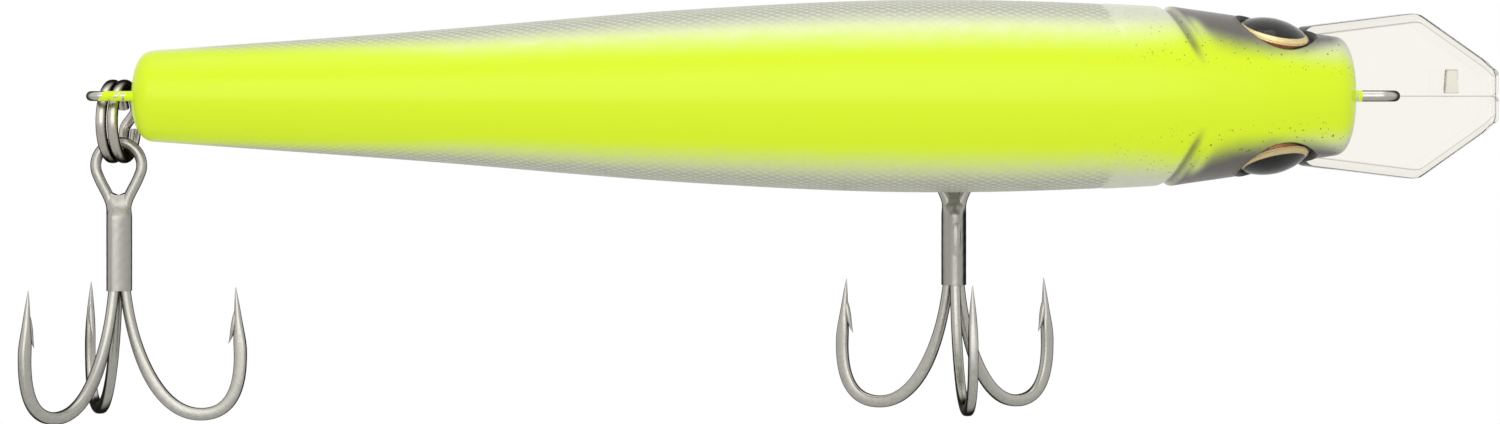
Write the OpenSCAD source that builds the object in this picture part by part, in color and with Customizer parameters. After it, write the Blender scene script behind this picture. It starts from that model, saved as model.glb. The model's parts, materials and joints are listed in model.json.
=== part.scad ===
// Minnow-shaped crankbait with a clear diving lip and two treble hooks.
// The lure lies on its flank: +X runs to the nose, -Y to the back, +Y to the belly and +Z to the
// left flank. The origin is the centre of the line tie's eye. Both trebles hang down, along -Z.

/* [Body] */
// Length of the body from the nose face to the tail end
body_length = 110; // [100:1:132]
// Width across the flanks at the widest place
body_width = 17.3; // [16:0.1:20.8]
// Depth from back to belly at the deepest place
body_depth = 18.9; // [17:0.1:22.7]
// Wall thickness of the moulded half shells
wall = 1.5; // [1.2:0.1:1.8]
// Reach of the rounding at the nose
nose_round = 1.9; // [1:0.1:3]
// Reach of the rounding at the tail
tail_round = 2; // [1:0.1:3]

/* [Diving lip] */
// Angle between the lip and the body's axis
lip_angle = 32; // [25:1:40]
// Height of the lip's middle plane below the axis at the nose face
lip_drop = 4.6; // [4:0.1:5.5]
// Length of the lip beyond the nose face, along the lip
lip_length = 17.8; // [14:0.1:21]
// Greatest width of the lip
lip_width = 15.2; // [13:0.1:18]
// Width of the lip's blunt tip
lip_tip_width = 4.6; // [3:0.1:6]
// Thickness of the lip
lip_thickness = 1.8; // [1.4:0.1:2.2]
// Width of the bevel along the lip's edge
lip_bevel = 0.9; // [0.4:0.1:1.4]

/* [Wire hangers] */
// Diameter of the line tie's wire
tie_wire = 1; // [0.8:0.05:1.2]
// Inner width of the line tie's eye
tie_eye = 2; // [1.8:0.1:3]
// Distance that the line tie stands out of the nose
tie_reach = 4.05; // [3.5:0.05:5]
// Diameter of the hook hangers' wire
hanger_wire = 0.9; // [0.75:0.05:1]
// Inner width of the hook hangers' loops
hanger_eye = 3.5; // [2.9:0.1:4.2]
// Distance of the belly hanger behind the nose face
belly_hanger_back = 35.4; // [34:0.1:36.5]

/* [Split rings] */
// Outer diameter of a split ring
ring_diameter = 7.6; // [6.3:0.1:9.2]
// Diameter of the split rings' wire
ring_wire = 0.94; // [0.78:0.02:1.14]
// Clearance between the two coils of a ring
coil_gap = 0.14; // [0.08:0.02:0.2]

/* [Treble hooks] */
// Diameter of the hook wire
hook_wire = 1; // [0.8:0.02:1.06]
// Inner width of a treble's eye
hook_eye = 3.16; // [2.64:0.02:3.8]
// Height of the bend's lowest place below a treble's hinge
hook_drop = 22.8; // [20:0.1:26]
// Distance of each point from the shank
hook_gape = 11.4; // [9.5:0.1:13]
// Length of the straight tapered point
point_length = 5.4; // [4:0.1:6.5]
// Length of a barb
barb_length = 1.7; // [1:0.1:2]

/* [Eyes] */
// Diameter of an eye lens
eye_diameter = 6.2; // [5:0.1:6.6]
// Distance of the eyes behind the nose face
eye_back = 7.3; // [7:0.1:8]
// Length of the pointed socket round an eye
socket_length = 7.4; // [6.2:0.1:8]

/* [Inside] */
// Wall thickness of the weight tube
tube_wall = 0.45; // [0.3:0.05:0.6]
// Diameter of a transfer ball
transfer_ball_diameter = 7; // [5.8:0.1:7.4]
// Diameter of the ballast slug
ballast_diameter = 6.4; // [5.4:0.1:6.6]
// Length of the ballast slug
ballast_length = 8.4; // [7:0.1:8.6]
// Diameter of the rattle ball
rattle_ball_diameter = 4; // [3.2:0.1:4.2]

/* [Clearances] */
// Play of a wire or slug in its moulded seat
seat_play = 0.03; // [0.02:0.01:0.05]
// Clearance between links that hang on each other
link_play = 0.12; // [0.08:0.01:0.15]
// Radial play of the rattle ball in its channel
ball_play = 0.2; // [0.15:0.05:0.3]
// Radial play of the transfer balls in their tube
tube_play = 0.25; // [0.15:0.05:0.3]
// Room at each side of a split ring in its hanger
ring_side_room = 0.21; // [0.1:0.01:0.4]
// Room between the tail and its split ring
tail_room = 0.06; // [0.05:0.01:0.3]
// Room between the belly and a split ring that swings past it
belly_room = 0.05; // [0.05:0.01:0.5]
// Room between a split ring's coils and the top of a treble's eye
eye_room = 0.26; // [0.12:0.01:0.4]

/* [Hidden] */
$fn = 48;

// A ring is as wide as its two coils. It leans in its hanger until the side room is left.
coil_pitch = ring_wire + coil_gap;
ring_r = (ring_diameter - ring_wire) / 2;
ring_centre_z = -(ring_r - ring_wire / 2 - hanger_wire / 2 - link_play);
ring_reach_x = hanger_eye / 2 - ring_side_room;
ring_yaw = asin(
    (ring_reach_x - (coil_pitch + ring_wire) / 2) / sqrt(ring_diameter ^ 2 / 4 - ring_centre_z ^ 2)
);
tail_reach = tail_room + 2 * ring_reach_x + hanger_wire;
belly_reach = (ring_diameter + hanger_wire) / 2 + belly_room;

tie_centre_r = (tie_eye + tie_wire) / 2;
nose_x = -(tie_reach - tie_centre_r - tie_wire / 2);
tail_x = nose_x - body_length;
belly_hanger_x = nose_x - belly_hanger_back;

// Body outline: place along the length, then half width, back height and belly depth,
// as shares of the body's length, half width and depth.
body_stations = [
    [0, 0.59, 0.19, 0.22],
    [0.036, 0.66, 0.26, 0.285],
    [0.09, 0.82, 0.34, 0.38],
    [0.18, 0.94, 0.42, 0.475],
    [0.36, 1, 0.47, 0.53],
    [0.545, 0.9, 0.435, 0.455],
    [0.77, 0.67, 0.32, 0.31],
    [1, 0.46, 0.195, 0.195],
];
WIDTH = 1;
BACK = 2;
BELLY = 3;
last_station = len(body_stations) - 1;

// Slope of a column at station i, from the stations beside it.
function slope(i, column) =
    let (a = body_stations[max(i - 1, 0)], b = body_stations[min(i + 1, last_station)])
    (b[column] - a[column]) / (b[0] - a[0]);

// Smooth curve through the stations at share s of the length.
function outline(s, column) =
    let (
        i = max([for (k = [0:last_station - 1]) if (k == 0 || body_stations[k][0] <= s) k]),
        a = body_stations[i],
        b = body_stations[i + 1],
        span = b[0] - a[0],
        t = (s - a[0]) / span
    )
    (2 * t ^ 3 - 3 * t ^ 2 + 1) * a[column] + (t ^ 3 - 2 * t ^ 2 + t) * span * slope(i, column)
        + (3 * t ^ 2 - 2 * t ^ 3) * b[column] + (t ^ 3 - t ^ 2) * span * slope(i + 1, column);

// Share of the full section left by the end roundings, u behind the nose face. Each end keeps a
// small flat face.
end_fullness = 2.5;
flat_end = 0.02;
function closing(t) =
    t >= 1 ? 1 : (1 - (1 - max(t, flat_end)) ^ end_fullness) ^ (1 / end_fullness);
function fullness(u) =
    closing(max(u, 0) / nose_round) * closing(max(body_length - u, 0) / tail_round);

function half_width(u) = outline(u / body_length, WIDTH) * body_width / 2 * fullness(u);
function back_height(u) = outline(u / body_length, BACK) * body_depth * fullness(u);
function belly_depth(u) = outline(u / body_length, BELLY) * body_depth * fullness(u);

// Point of the section u behind the nose face, at an angle counted from the back (0) over the
// left flank (90) to the belly (180), on a skin that lies "inset" below the surface.
function section_point(u, angle, inset) = [
    nose_x - u,
    -cos(angle) * ((angle < 90 ? back_height(u) : belly_depth(u)) - inset),
    sin(angle) * (half_width(u) - inset),
];

// The hollow stops short of the nose and the tail, where the wires are held.
cavity_front = 11.5;
cavity_rear = body_length - 9;
row_count = 40;
arc_count = 16;
// The halves are shaped a little past the seam, by this angle and then straight down to this
// depth, and cut flat afterwards.
past_seam_angle = 6;
past_seam = body_width / 10;
row_points = arc_count + 3;

function outer_place(i) = body_length * (1 - cos(180 * i / (row_count - 1))) / 2;
function inner_place(i) = cavity_front + (cavity_rear - cavity_front) * i / (row_count - 1);
function arc_angle(k) = -past_seam_angle + (180 + 2 * past_seam_angle) * k / arc_count;
function below(p) = [p[0], p[1], -past_seam];
// One row of a skin: the arc, with a point below each of its ends.
function skin_row(u, inset) =
    let (arc = [for (k = [0:arc_count]) section_point(u, arc_angle(k), inset)])
    concat([below(arc[0])], arc, [below(arc[arc_count])]);
function skin(from_inside) = [
    for (i = [0:row_count - 1])
        each skin_row(from_inside ? inner_place(i) : outer_place(i), from_inside ? wall : 0)
];
function grid_faces(first, rows, flip) = [
    for (i = [0:rows - 2], k = [0:row_points - 2])
        let (
            a = first + i * row_points + k,
            b = a + row_points,
            quad = [a, b, b + 1, a + 1]
        )
        for (t = [[0, 1, 2], [0, 2, 3]])
            flip ? [quad[t[2]], quad[t[1]], quad[t[0]]] : [quad[t[0]], quad[t[1]], quad[t[2]]]
];
function row_face(first, flip) =
    [[for (k = [0:row_points - 1]) first + (flip ? row_points - 1 - k : k)]];

// Hollow left half of the body: outer skin, inner skin and the flat underside between them.
module hollow_half() {
    outer = 0;
    inner = row_count * row_points;
    last = (row_count - 1) * row_points;
    belly = row_points - 1;
    polyhedron(
        points = concat(skin(false), skin(true)),
        faces = concat(
            grid_faces(outer, row_count, false),
            grid_faces(inner, row_count, true),
            row_face(outer, false),
            row_face(outer + last, true),
            row_face(inner, true),
            row_face(inner + last, false),
            [for (i = [0:row_count - 2]) for (f = underside(outer, inner, i, false)) f],
            [for (i = [0:row_count - 2]) for (f = underside(outer + belly, inner + belly, i, true)) f],
            [[outer, inner + belly, inner], [outer, outer + belly, inner + belly]],
            [
                [outer + last, inner + last, inner + last + belly],
                [outer + last, inner + last + belly, outer + last + belly],
            ]
        )
    );
}
function underside(outer, inner, i, flip) =
    let (a = outer + i * row_points, b = a + row_points, c = inner + i * row_points, d = c + row_points)
    flip ? [[a, b, d], [a, d, c]] : [[b, a, d], [d, a, c]];

// Everything that was shaped past the seam is cut off with this.
module past_seam_cut() {
    translate([tail_x - body_length, -body_length, -body_width])
        cube([3 * body_length, 2 * body_length, body_width]);
}

// Solid left half that ends halfway through the wall. It trims the inner ribs and bosses.
module core_half() {
    rows = 24;
    front = 4;
    rear = body_length - 4;
    polyhedron(
        points = [
            for (i = [0:rows]) each skin_row(front + (rear - front) * i / rows, wall / 2)
        ],
        faces = concat(
            grid_faces(0, rows + 1, false),
            row_face(0, false),
            row_face(rows * row_points, true),
            [
                for (i = [0:rows - 1])
                    let (a = i * row_points, b = a + row_points, c = a + row_points - 1, d = b + row_points - 1)
                    for (f = [[a, d, b], [a, c, d]]) f
            ]
        )
    );
}

// Cylinder along X from u_front to u_rear behind the nose face.
module lengthwise(u_front, u_rear, y, radius) {
    translate([nose_x - u_rear, y, 0])
        rotate([0, 90, 0])
            cylinder(r = radius, h = u_rear - u_front);
}

// Slab across the body from u_front to u_rear behind the nose face, from y upwards to the belly.
module slab(u_front, u_rear, y) {
    translate([nose_x - u_rear, y, -1])
        cube([u_rear - u_front, body_depth, body_width]);
}

tube_diameter = transfer_ball_diameter + 2 * (tube_play + tube_wall);
tube_front = 40.7;
tube_rear = 75.3;
tube_y = 1.2;
seat_depth = 1;
stop_thickness = 2;
cradle_place = (tube_front + tube_rear) / 2;
cradle_thickness = 1.2;
ballast_back = 24.5;
ballast_y = 2.8;
boss_wall = 1.2;
rattle_wall_back = 19.2;
rattle_y = 0;
hanger_leg = 7;
hanger_foot = 1.3;
boss_top_y = belly_depth(belly_hanger_back) - hanger_leg - 1.2;

// Locating pins: place behind the nose face, then height across the seam's plane
pin_places = [[8.8, -4.2], [ballast_back, -4.6], [cradle_place, -5], [body_length - 5.6, 0]];
pin_r = 0.8;
pin_length = 1.6;

// Ribs and bosses that hold the pieces inside the body. They stop just short of the seam, so that
// the two halves meet along their rims.
rib_relief = 0.3;
module inner_bosses() {
    intersection() {
        difference() {
            core_half();
            translate([0, 0, rib_relief])
                past_seam_cut();
        }
        union() {
            slab(tube_front - stop_thickness + seat_depth, tube_front + seat_depth, -body_depth / 2);
            slab(tube_rear - seat_depth, tube_rear + stop_thickness - seat_depth, -body_depth / 2);
            slab(
                cradle_place - cradle_thickness / 2, cradle_place + cradle_thickness / 2, -body_depth / 2
            );
            slab(
                belly_hanger_back - hanger_eye / 2 - hanger_wire - hanger_foot - boss_wall,
                belly_hanger_back + hanger_eye / 2 + hanger_wire + hanger_foot + 0.3,
                boss_top_y
            );
            lengthwise(
                cavity_front - 1, rattle_wall_back + boss_wall, rattle_y,
                rattle_ball_diameter / 2 + ball_play + 0.9
            );
            translate([nose_x - ballast_back, ballast_y, -1])
                cylinder(r = ballast_diameter / 2 + boss_wall, h = body_width);
            for (p = [pin_places[1], pin_places[2]])
                translate([nose_x - p[0], p[1], -1])
                    cylinder(r = pin_r + 1, h = body_width);
        }
    }
}

// Outline of the diving lip, from its root inside the head to its tip.
root_back = 7;
module lip_outline(inset = 0) {
    half = lip_width / 2;
    tip = lip_tip_width / 2;
    offset(delta = -inset)
        polygon([
            for (side = [1, -1]) each let (
                edge = [
                    [-root_back, half - 3.2], [-5, half - 1.3], [6.4, half - 0.1],
                    [7.3, half], [8.3, half - 0.1], [lip_length - 1.4, tip + 0.9],
                    [lip_length - 0.8, tip + 0.4], [lip_length, tip],
                ]
            )
            [for (k = [0:len(edge) - 1]) let (p = edge[side > 0 ? k : len(edge) - 1 - k]) [p[0], side * p[1]]]
        ]);
}

// Left half of the lip, with a bevel along its edge on the side of the back.
module lip_half() {
    translate([nose_x, lip_drop, 0])
        rotate([90, 0, lip_angle])
            translate([0, 0, -lip_thickness / 2])
                hull() {
                    linear_extrude(lip_thickness - lip_bevel)
                        upper_side() lip_outline();
                    linear_extrude(lip_thickness)
                        upper_side() lip_outline(lip_bevel);
                }
}
module upper_side() {
    intersection() {
        children();
        translate([-50, -0.7 * past_seam])
            square([100, 50]);
    }
}

// Slot of the gill cover: a curved groove across the flank.
gill_back = 16.7;
gill_r = 7;
gill_slot = 0.6;
gill_depth = 0.9;
module gill_slot_cut() {
    translate([nose_x - gill_back + gill_r, 0, half_width(gill_back) - gill_depth])
        difference() {
            cylinder(r = gill_r + gill_slot / 2, h = body_width, $fn = 96);
            translate([0, 0, -1])
                cylinder(r = gill_r - gill_slot / 2, h = body_width + 2, $fn = 96);
        }
}

// The eyes look out sideways, a little towards the back and the nose.
eye_towards_back = 18.5;
eye_towards_nose = 13;
foil_thickness = 0.2;
lens_edge = 0.55;
lens_dome = 0.95;
socket_depth = 1.15;
module at_left_eye() {
    translate(section_point(eye_back, 90 - eye_towards_back, 0))
        rotate([eye_towards_back, eye_towards_nose, 0])
            translate([0, 0, -socket_depth])
                children();
}

// Recess for an eye: a round seat with a pointed socket that is a little shallower.
module eye_recess() {
    lens_r = eye_diameter / 2 + seat_play;
    socket_r = (socket_length ^ 2 / 4 + lens_r ^ 2) / (2 * lens_r);
    cylinder(r = lens_r, h = 6);
    translate([0, 0, socket_depth - 0.75])
        intersection() {
            translate([0, socket_r - lens_r, 0])
                cylinder(r = socket_r, h = 6);
            translate([0, lens_r - socket_r, 0])
                cylinder(r = socket_r, h = 6);
        }
}

// Wire bent to a loop whose two legs run into the body and end in feet turned outwards.
// The loop's far strand crosses the origin, and the legs run along -X.
module wire_loop(eye, wire, corner, reach, leg, foot, play = 0) {
    leg_y = (eye + wire) / 2;
    r = wire / 2 + play;
    straight_y = leg_y - corner;
    for (side = [0, 1])
        mirror([0, side, 0]) {
            translate([-corner, straight_y, 0])
                rotate_extrude(angle = 90)
                    translate([corner, 0])
                        circle(r);
            translate([-reach - leg, leg_y, 0])
                rotate([0, 90, 0])
                    cylinder(r = r, h = reach + leg - corner);
            translate([-reach - leg, leg_y - wire / 4, 0])
                rotate([-90, 0, 0])
                    cylinder(r = r * 0.96, h = foot + wire / 4 + play);
        }
    if (straight_y > 0.01)
        translate([0, -straight_y, 0])
            rotate([-90, 0, 0])
                cylinder(r = r, h = 2 * straight_y);
}

tie_leg = 8.6;
module tie_shape(play = 0) {
    translate([tie_centre_r, 0, 0])
        wire_loop(tie_eye, tie_wire, tie_centre_r, tie_centre_r - nose_x, tie_leg, 1.3, play);
}

hanger_corner = 1.2;
module tail_hanger_shape(play = 0) {
    far_x = tail_x - tail_reach + hanger_wire / 2;
    translate([far_x, 0, 0])
        rotate([0, 0, 180])
            wire_loop(
                hanger_eye, hanger_wire, hanger_corner, tail_x - far_x, hanger_leg, hanger_foot, play
            );
}

belly_strand_y = belly_depth(belly_hanger_back) + belly_reach - hanger_wire / 2;
module belly_hanger_shape(play = 0) {
    translate([belly_hanger_x, belly_strand_y, 0])
        rotate([0, 0, 90])
            wire_loop(
                hanger_eye, hanger_wire, hanger_corner, belly_reach - hanger_wire / 2, hanger_leg,
                hanger_foot, play
            );
}

// Skin, ribs and lip of one half, cut flat along the seam. The resize() keeps the size as it is:
// it joins the faceted shapes into one mesh before anything round is cut into them.
module rough_half() {
    resize([0, 0, 0])
        difference() {
            union() {
                hollow_half();
                inner_bosses();
                lip_half();
            }
            past_seam_cut();
        }
}

// One moulded half of the body. The left half carries the locating pins.
module half_shell(with_pins) {
    difference() {
        union() {
            difference() {
                rough_half();
                gill_slot_cut();
                at_left_eye() eye_recess();
                tie_shape(seat_play);
                tail_hanger_shape(seat_play);
                belly_hanger_shape(seat_play);
                lengthwise(tube_front - seat_play, tube_rear + seat_play, tube_y, tube_diameter / 2 + seat_play);
                lengthwise(
                    cavity_front - 0.5, rattle_wall_back, rattle_y, rattle_ball_diameter / 2 + ball_play
                );
                translate([nose_x - ballast_back, ballast_y, -ballast_length / 2 - seat_play])
                    cylinder(r = ballast_diameter / 2 + seat_play, h = ballast_length + 2 * seat_play);
            }
            if (with_pins)
                for (p = pin_places)
                    translate([nose_x - p[0], p[1], -pin_length])
                        cylinder(r = pin_r, h = pin_length + 0.8);
        }
        if (!with_pins)
            for (p = pin_places)
                translate([nose_x - p[0], p[1], -1])
                    cylinder(r = pin_r + seat_play, h = pin_length + 1.2);
    }
}

module left_half_shell() {
    color("#dcff1e") half_shell(true);
}
module right_half_shell() {
    color("#dcff1e") mirror([0, 0, 1]) half_shell(false);
}
module line_tie_wire() {
    color("#c8cbb8") tie_shape();
}
module belly_hook_hanger() {
    color("#b9b9b4") belly_hanger_shape();
}
module tail_hook_hanger() {
    color("#b9b9b4") tail_hanger_shape();
}

module eye_foil() {
    cylinder(r = eye_diameter / 2, h = foil_thickness);
}
// Lens: a straight edge with a dome of a circle's arc on top.
module eye_lens() {
    r = eye_diameter / 2;
    dome_r = (r ^ 2 + lens_dome ^ 2) / (2 * lens_dome);
    steps = 12;
    translate([0, 0, foil_thickness])
        rotate_extrude()
            polygon(concat(
                [[0, 0], [r, 0]],
                [
                    for (k = [0:steps])
                        let (a = asin(r / dome_r) * (1 - k / steps))
                        [dome_r * sin(a), lens_edge + lens_dome - dome_r + dome_r * cos(a)]
                ]
            ));
}
module left_eye_foil() {
    color("#c9a64b") at_left_eye() eye_foil();
}
module right_eye_foil() {
    color("#c9a64b") mirror([0, 0, 1]) at_left_eye() eye_foil();
}
module left_eye_lens() {
    color("#2b2a22") at_left_eye() eye_lens();
}
module right_eye_lens() {
    color("#2b2a22") mirror([0, 0, 1]) at_left_eye() eye_lens();
}

module front_ballast() {
    color("#77787c")
        translate([nose_x - ballast_back, ballast_y, -ballast_length / 2])
            cylinder(r = ballast_diameter / 2, h = ballast_length);
}
module weight_tube() {
    color("#e6eef2")
        difference() {
            lengthwise(tube_front, tube_rear, tube_y, tube_diameter / 2);
            lengthwise(tube_front - 1, tube_rear + 1, tube_y, tube_diameter / 2 - tube_wall);
        }
}

// The balls start at the front of their channels.
ball_gap = 0.15;
module ball(back, y, diameter) {
    color("#a9adb2")
        translate([nose_x - back - ball_gap - diameter / 2, y, 0])
            sphere(d = diameter);
}
module front_transfer_ball() {
    ball(tube_front, tube_y, transfer_ball_diameter);
}
module rear_transfer_ball() {
    ball(tube_front + transfer_ball_diameter + ball_gap, tube_y, transfer_ball_diameter);
}
module rattle_ball() {
    ball(cavity_front, rattle_y, rattle_ball_diameter);
}

// Tube along a list of points, with a radius at each point. The cross-sections keep turning as
// little as possible from one point to the next.
function unit(v) = v / norm(v);
function tangent(path, i) = unit(path[min(i + 1, len(path) - 1)] - path[max(i - 1, 0)]);
function across(v, along) = unit(v - (v * along) * along);
module tube_along(path, radii, first_side, sides) {
    last = len(path) - 1;
    side = [
        for (i = 0, v = across(first_side, tangent(path, 0)); i <= last;
             i = i + 1, v = across(v, tangent(path, min(i, last)))) v
    ];
    points = [
        for (i = [0:last], k = [0:sides - 1])
            let (a = 360 * k / sides, other = cross(tangent(path, i), side[i]))
            path[i] + radii[i] * (cos(a) * side[i] + sin(a) * other)
    ];
    polyhedron(
        points = points,
        faces = concat(
            [[for (k = [0:sides - 1]) k]],
            [[for (k = [0:sides - 1]) last * sides + sides - 1 - k]],
            [
                for (i = [0:last - 1], k = [0:sides - 1])
                    let (a = i * sides + k, b = i * sides + (k + 1) % sides)
                    for (f = [[b, a, a + sides], [b, a + sides, b + sides]]) f
            ]
        )
    );
}

// Each coil covers the circle except for the stretch where the wire steps over to the other coil.
step_angle = 34;
step_place = 20;
wire_sides = 10;
function ring_point(turned) =
    let (
        side_step = (turned - 360 + step_angle) / step_angle,
        s = min(max(side_step, 0), 1),
        a = step_place + turned
    )
    [(s * s * (3 - 2 * s) - 0.5) * coil_pitch, ring_r * cos(a), ring_r * sin(a)];
// Split ring about the X axis: two coils of one wire, with a step from coil to coil.
module split_ring() {
    count = 66;
    path = [for (i = [0:count]) ring_point((720 - step_angle) * i / count)];
    tube_along(path, [for (p = path) ring_wire / 2], [1, 0, 0], wire_sides);
}
module ring_on(x, y, yaw) {
    translate([x, y, ring_centre_z])
        rotate([0, 0, yaw])
            split_ring();
}
belly_ring_x = belly_hanger_x;
tail_strand_y = (hanger_eye + hanger_wire) / 2;
tail_ring_x = tail_x - tail_room - ring_reach_x;
module front_split_ring() {
    color("#aaa69b") ring_on(belly_ring_x, belly_strand_y, ring_yaw);
}
module rear_split_ring() {
    color("#aaa69b") ring_on(tail_ring_x, tail_strand_y, -ring_yaw);
}

// A treble hangs from the point where its ring is lowest. Its heights are counted from its hinge.
hinge_below_wire = 0.3;
eye_below_hinge =
    sqrt((hook_eye / 2 - ring_wire / 2 - eye_room) ^ 2 - coil_pitch ^ 2 / 4) - hinge_below_wire;
hinge_z = ring_centre_z - ring_r - hinge_below_wire;
eye_r = (hook_eye + hook_wire) / 2;
bundle_r = hook_wire * 0.62;
eye_arc = 118;
neck_z = -3.7;
bundle_top_z = -5.5;
braze_end_z = -11.7;
bend_r = 7.6;

function polar(r, azimuth, z) = [r * cos(azimuth), -r * sin(azimuth), z];
function bezier(p, t) =
    (1 - t) ^ 3 * p[0] + 3 * (1 - t) ^ 2 * t * p[1] + 3 * (1 - t) * t ^ 2 * p[2] + t ^ 3 * p[3];

// Middle line of one hook, from the end of the braze round the bend to its point,
// as distance from the shank and height.
point_base_z = -hook_drop + 6.1;
function hook_curve() = concat(
    [for (k = [1:9]) bezier(
        [[bundle_r, braze_end_z], [1.3, -17.2], [3.6, -hook_drop], [bend_r, -hook_drop]], k / 9
    )],
    [for (k = [1:8]) bezier(
        [
            [bend_r, -hook_drop], [hook_gape - 1.1, -hook_drop], [hook_gape + 0.1, -hook_drop + 2.1],
            [hook_gape - 0.1, point_base_z],
        ],
        k / 8
    )]
);
point_steps = 6;
point_tip_r = 0.05;
function point_line() = [
    for (k = [1:point_steps]) [hook_gape - 0.1 + 0.2 * k / point_steps, point_base_z + point_length * k / point_steps]
];
function point_radii() = [
    for (k = [1:point_steps])
        point_tip_r + (hook_wire / 2 - point_tip_r) * (1 - (k / point_steps) ^ 1.6)
];
function branch(azimuth) = [for (p = concat(hook_curve(), point_line())) polar(p[0], azimuth, p[1])];
branch_radii = concat([for (p = hook_curve()) hook_wire / 2], point_radii());
function reversed(list) = [for (i = [len(list) - 1:-1:0]) list[i]];

// Leg of the double hook, from the neck of the eye (at azimuth 0 or 180) down to the bundle.
leg_steps = 4;
function leg(from_azimuth, to_azimuth) = concat(
    [
        for (k = [0:leg_steps])
            let (s = k / leg_steps, e = s * s * (3 - 2 * s))
            polar(
                bundle_r, from_azimuth + (to_azimuth - from_azimuth) * e,
                neck_z + (bundle_top_z - neck_z) * s
            )
    ],
    [polar(bundle_r, to_azimuth, braze_end_z)]
);
eye_steps = 16;
function eye_loop() = [
    for (k = [0:eye_steps])
        let (a = eye_arc - 2 * eye_arc * k / eye_steps)
        [eye_r * sin(a), 0, -eye_below_hinge + eye_r * cos(a)]
];

module barb(azimuth) {
    wire_r = hook_wire / 2;
    root_z = point_base_z + 2.9;
    rotate([0, 0, -azimuth])
        polyhedron(
            points = [
                [hook_gape - wire_r * 0.6, 0, root_z],
                [hook_gape - wire_r * 0.3, 0.2, root_z - barb_length + 0.1],
                [hook_gape - wire_r * 0.3, -0.2, root_z - barb_length + 0.1],
                [hook_gape - wire_r - 0.42, 0, root_z - barb_length - 0.25],
            ],
            faces = [[0, 2, 1], [0, 1, 3], [0, 3, 2], [1, 2, 3]]
        );
}

// Two hooks and the eye, bent from one wire.
module double_hook(first_azimuth, second_azimuth) {
    path = concat(
        reversed(branch(first_azimuth)), reversed(leg(0, first_azimuth)),
        eye_loop(),
        leg(180, second_azimuth), branch(second_azimuth)
    );
    radii = concat(
        reversed(branch_radii),
        [for (k = [0:2 * (leg_steps + 2) + eye_steps]) hook_wire / 2],
        branch_radii
    );
    tube_along(path, radii, [0, 1, 0], wire_sides);
    for (a = [first_azimuth, second_azimuth])
        barb(a);
}

// The third hook, brazed to the shanks of the other two.
module third_hook(azimuth) {
    path = concat([polar(bundle_r, azimuth, bundle_top_z - 0.2), polar(bundle_r, azimuth, braze_end_z)],
        branch(azimuth));
    tube_along(path, concat([hook_wire / 2, hook_wire / 2], branch_radii), [0, 1, 0], wire_sides);
    barb(azimuth);
}

// Braze that fills the furrows between the three shanks.
braze_r = bundle_r * 1.55;
module braze(azimuth) {
    top = bundle_top_z - 0.2;
    translate([0, 0, braze_end_z])
        linear_extrude(top - braze_end_z)
            difference() {
                circle(braze_r);
                for (k = [0:2])
                    rotate(-azimuth - 120 * k)
                        translate([bundle_r, 0])
                            circle(hook_wire / 2);
            }
}

module at_front_treble() {
    translate([belly_ring_x, belly_strand_y, hinge_z]) children();
}
module at_rear_treble() {
    translate([tail_ring_x, tail_strand_y, hinge_z]) children();
}
front_azimuth = 84;
rear_azimuth = 248;
hook_colour = "#8d8d88";
braze_colour = "#9a9a94";
module front_treble_double_hook() {
    color(hook_colour) at_front_treble() double_hook(front_azimuth - 120, front_azimuth + 120);
}
module front_treble_third_hook() {
    color(hook_colour) at_front_treble() third_hook(front_azimuth);
}
module front_treble_braze() {
    color(braze_colour) at_front_treble() braze(front_azimuth);
}
module rear_treble_double_hook() {
    color(hook_colour) at_rear_treble() double_hook(rear_azimuth - 240, rear_azimuth - 120);
}
module rear_treble_third_hook() {
    color(hook_colour) at_rear_treble() third_hook(rear_azimuth);
}
module rear_treble_braze() {
    color(braze_colour) at_rear_treble() braze(rear_azimuth);
}

left_half_shell();
right_half_shell();
line_tie_wire();
belly_hook_hanger();
tail_hook_hanger();
left_eye_foil();
right_eye_foil();
left_eye_lens();
right_eye_lens();
front_ballast();
weight_tube();
front_transfer_ball();
rear_transfer_ball();
rattle_ball();
front_split_ring();
rear_split_ring();
front_treble_double_hook();
front_treble_third_hook();
front_treble_braze();
rear_treble_double_hook();
rear_treble_third_hook();
rear_treble_braze();
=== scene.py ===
# %% [markdown]
# # A minnow crankbait with a clear diving lip
# A crankbait is two moulded plastic halves glued round a weight tube and a few balls. A wire eye
# takes the line, two wire hangers stand out of the seam, and each holds a split ring with a treble
# hook. Here every piece gets its finished surface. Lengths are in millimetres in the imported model's
# frame: +X is towards the nose, -Y the back, +Y the belly and +Z the left flank.

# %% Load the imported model
import json

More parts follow.
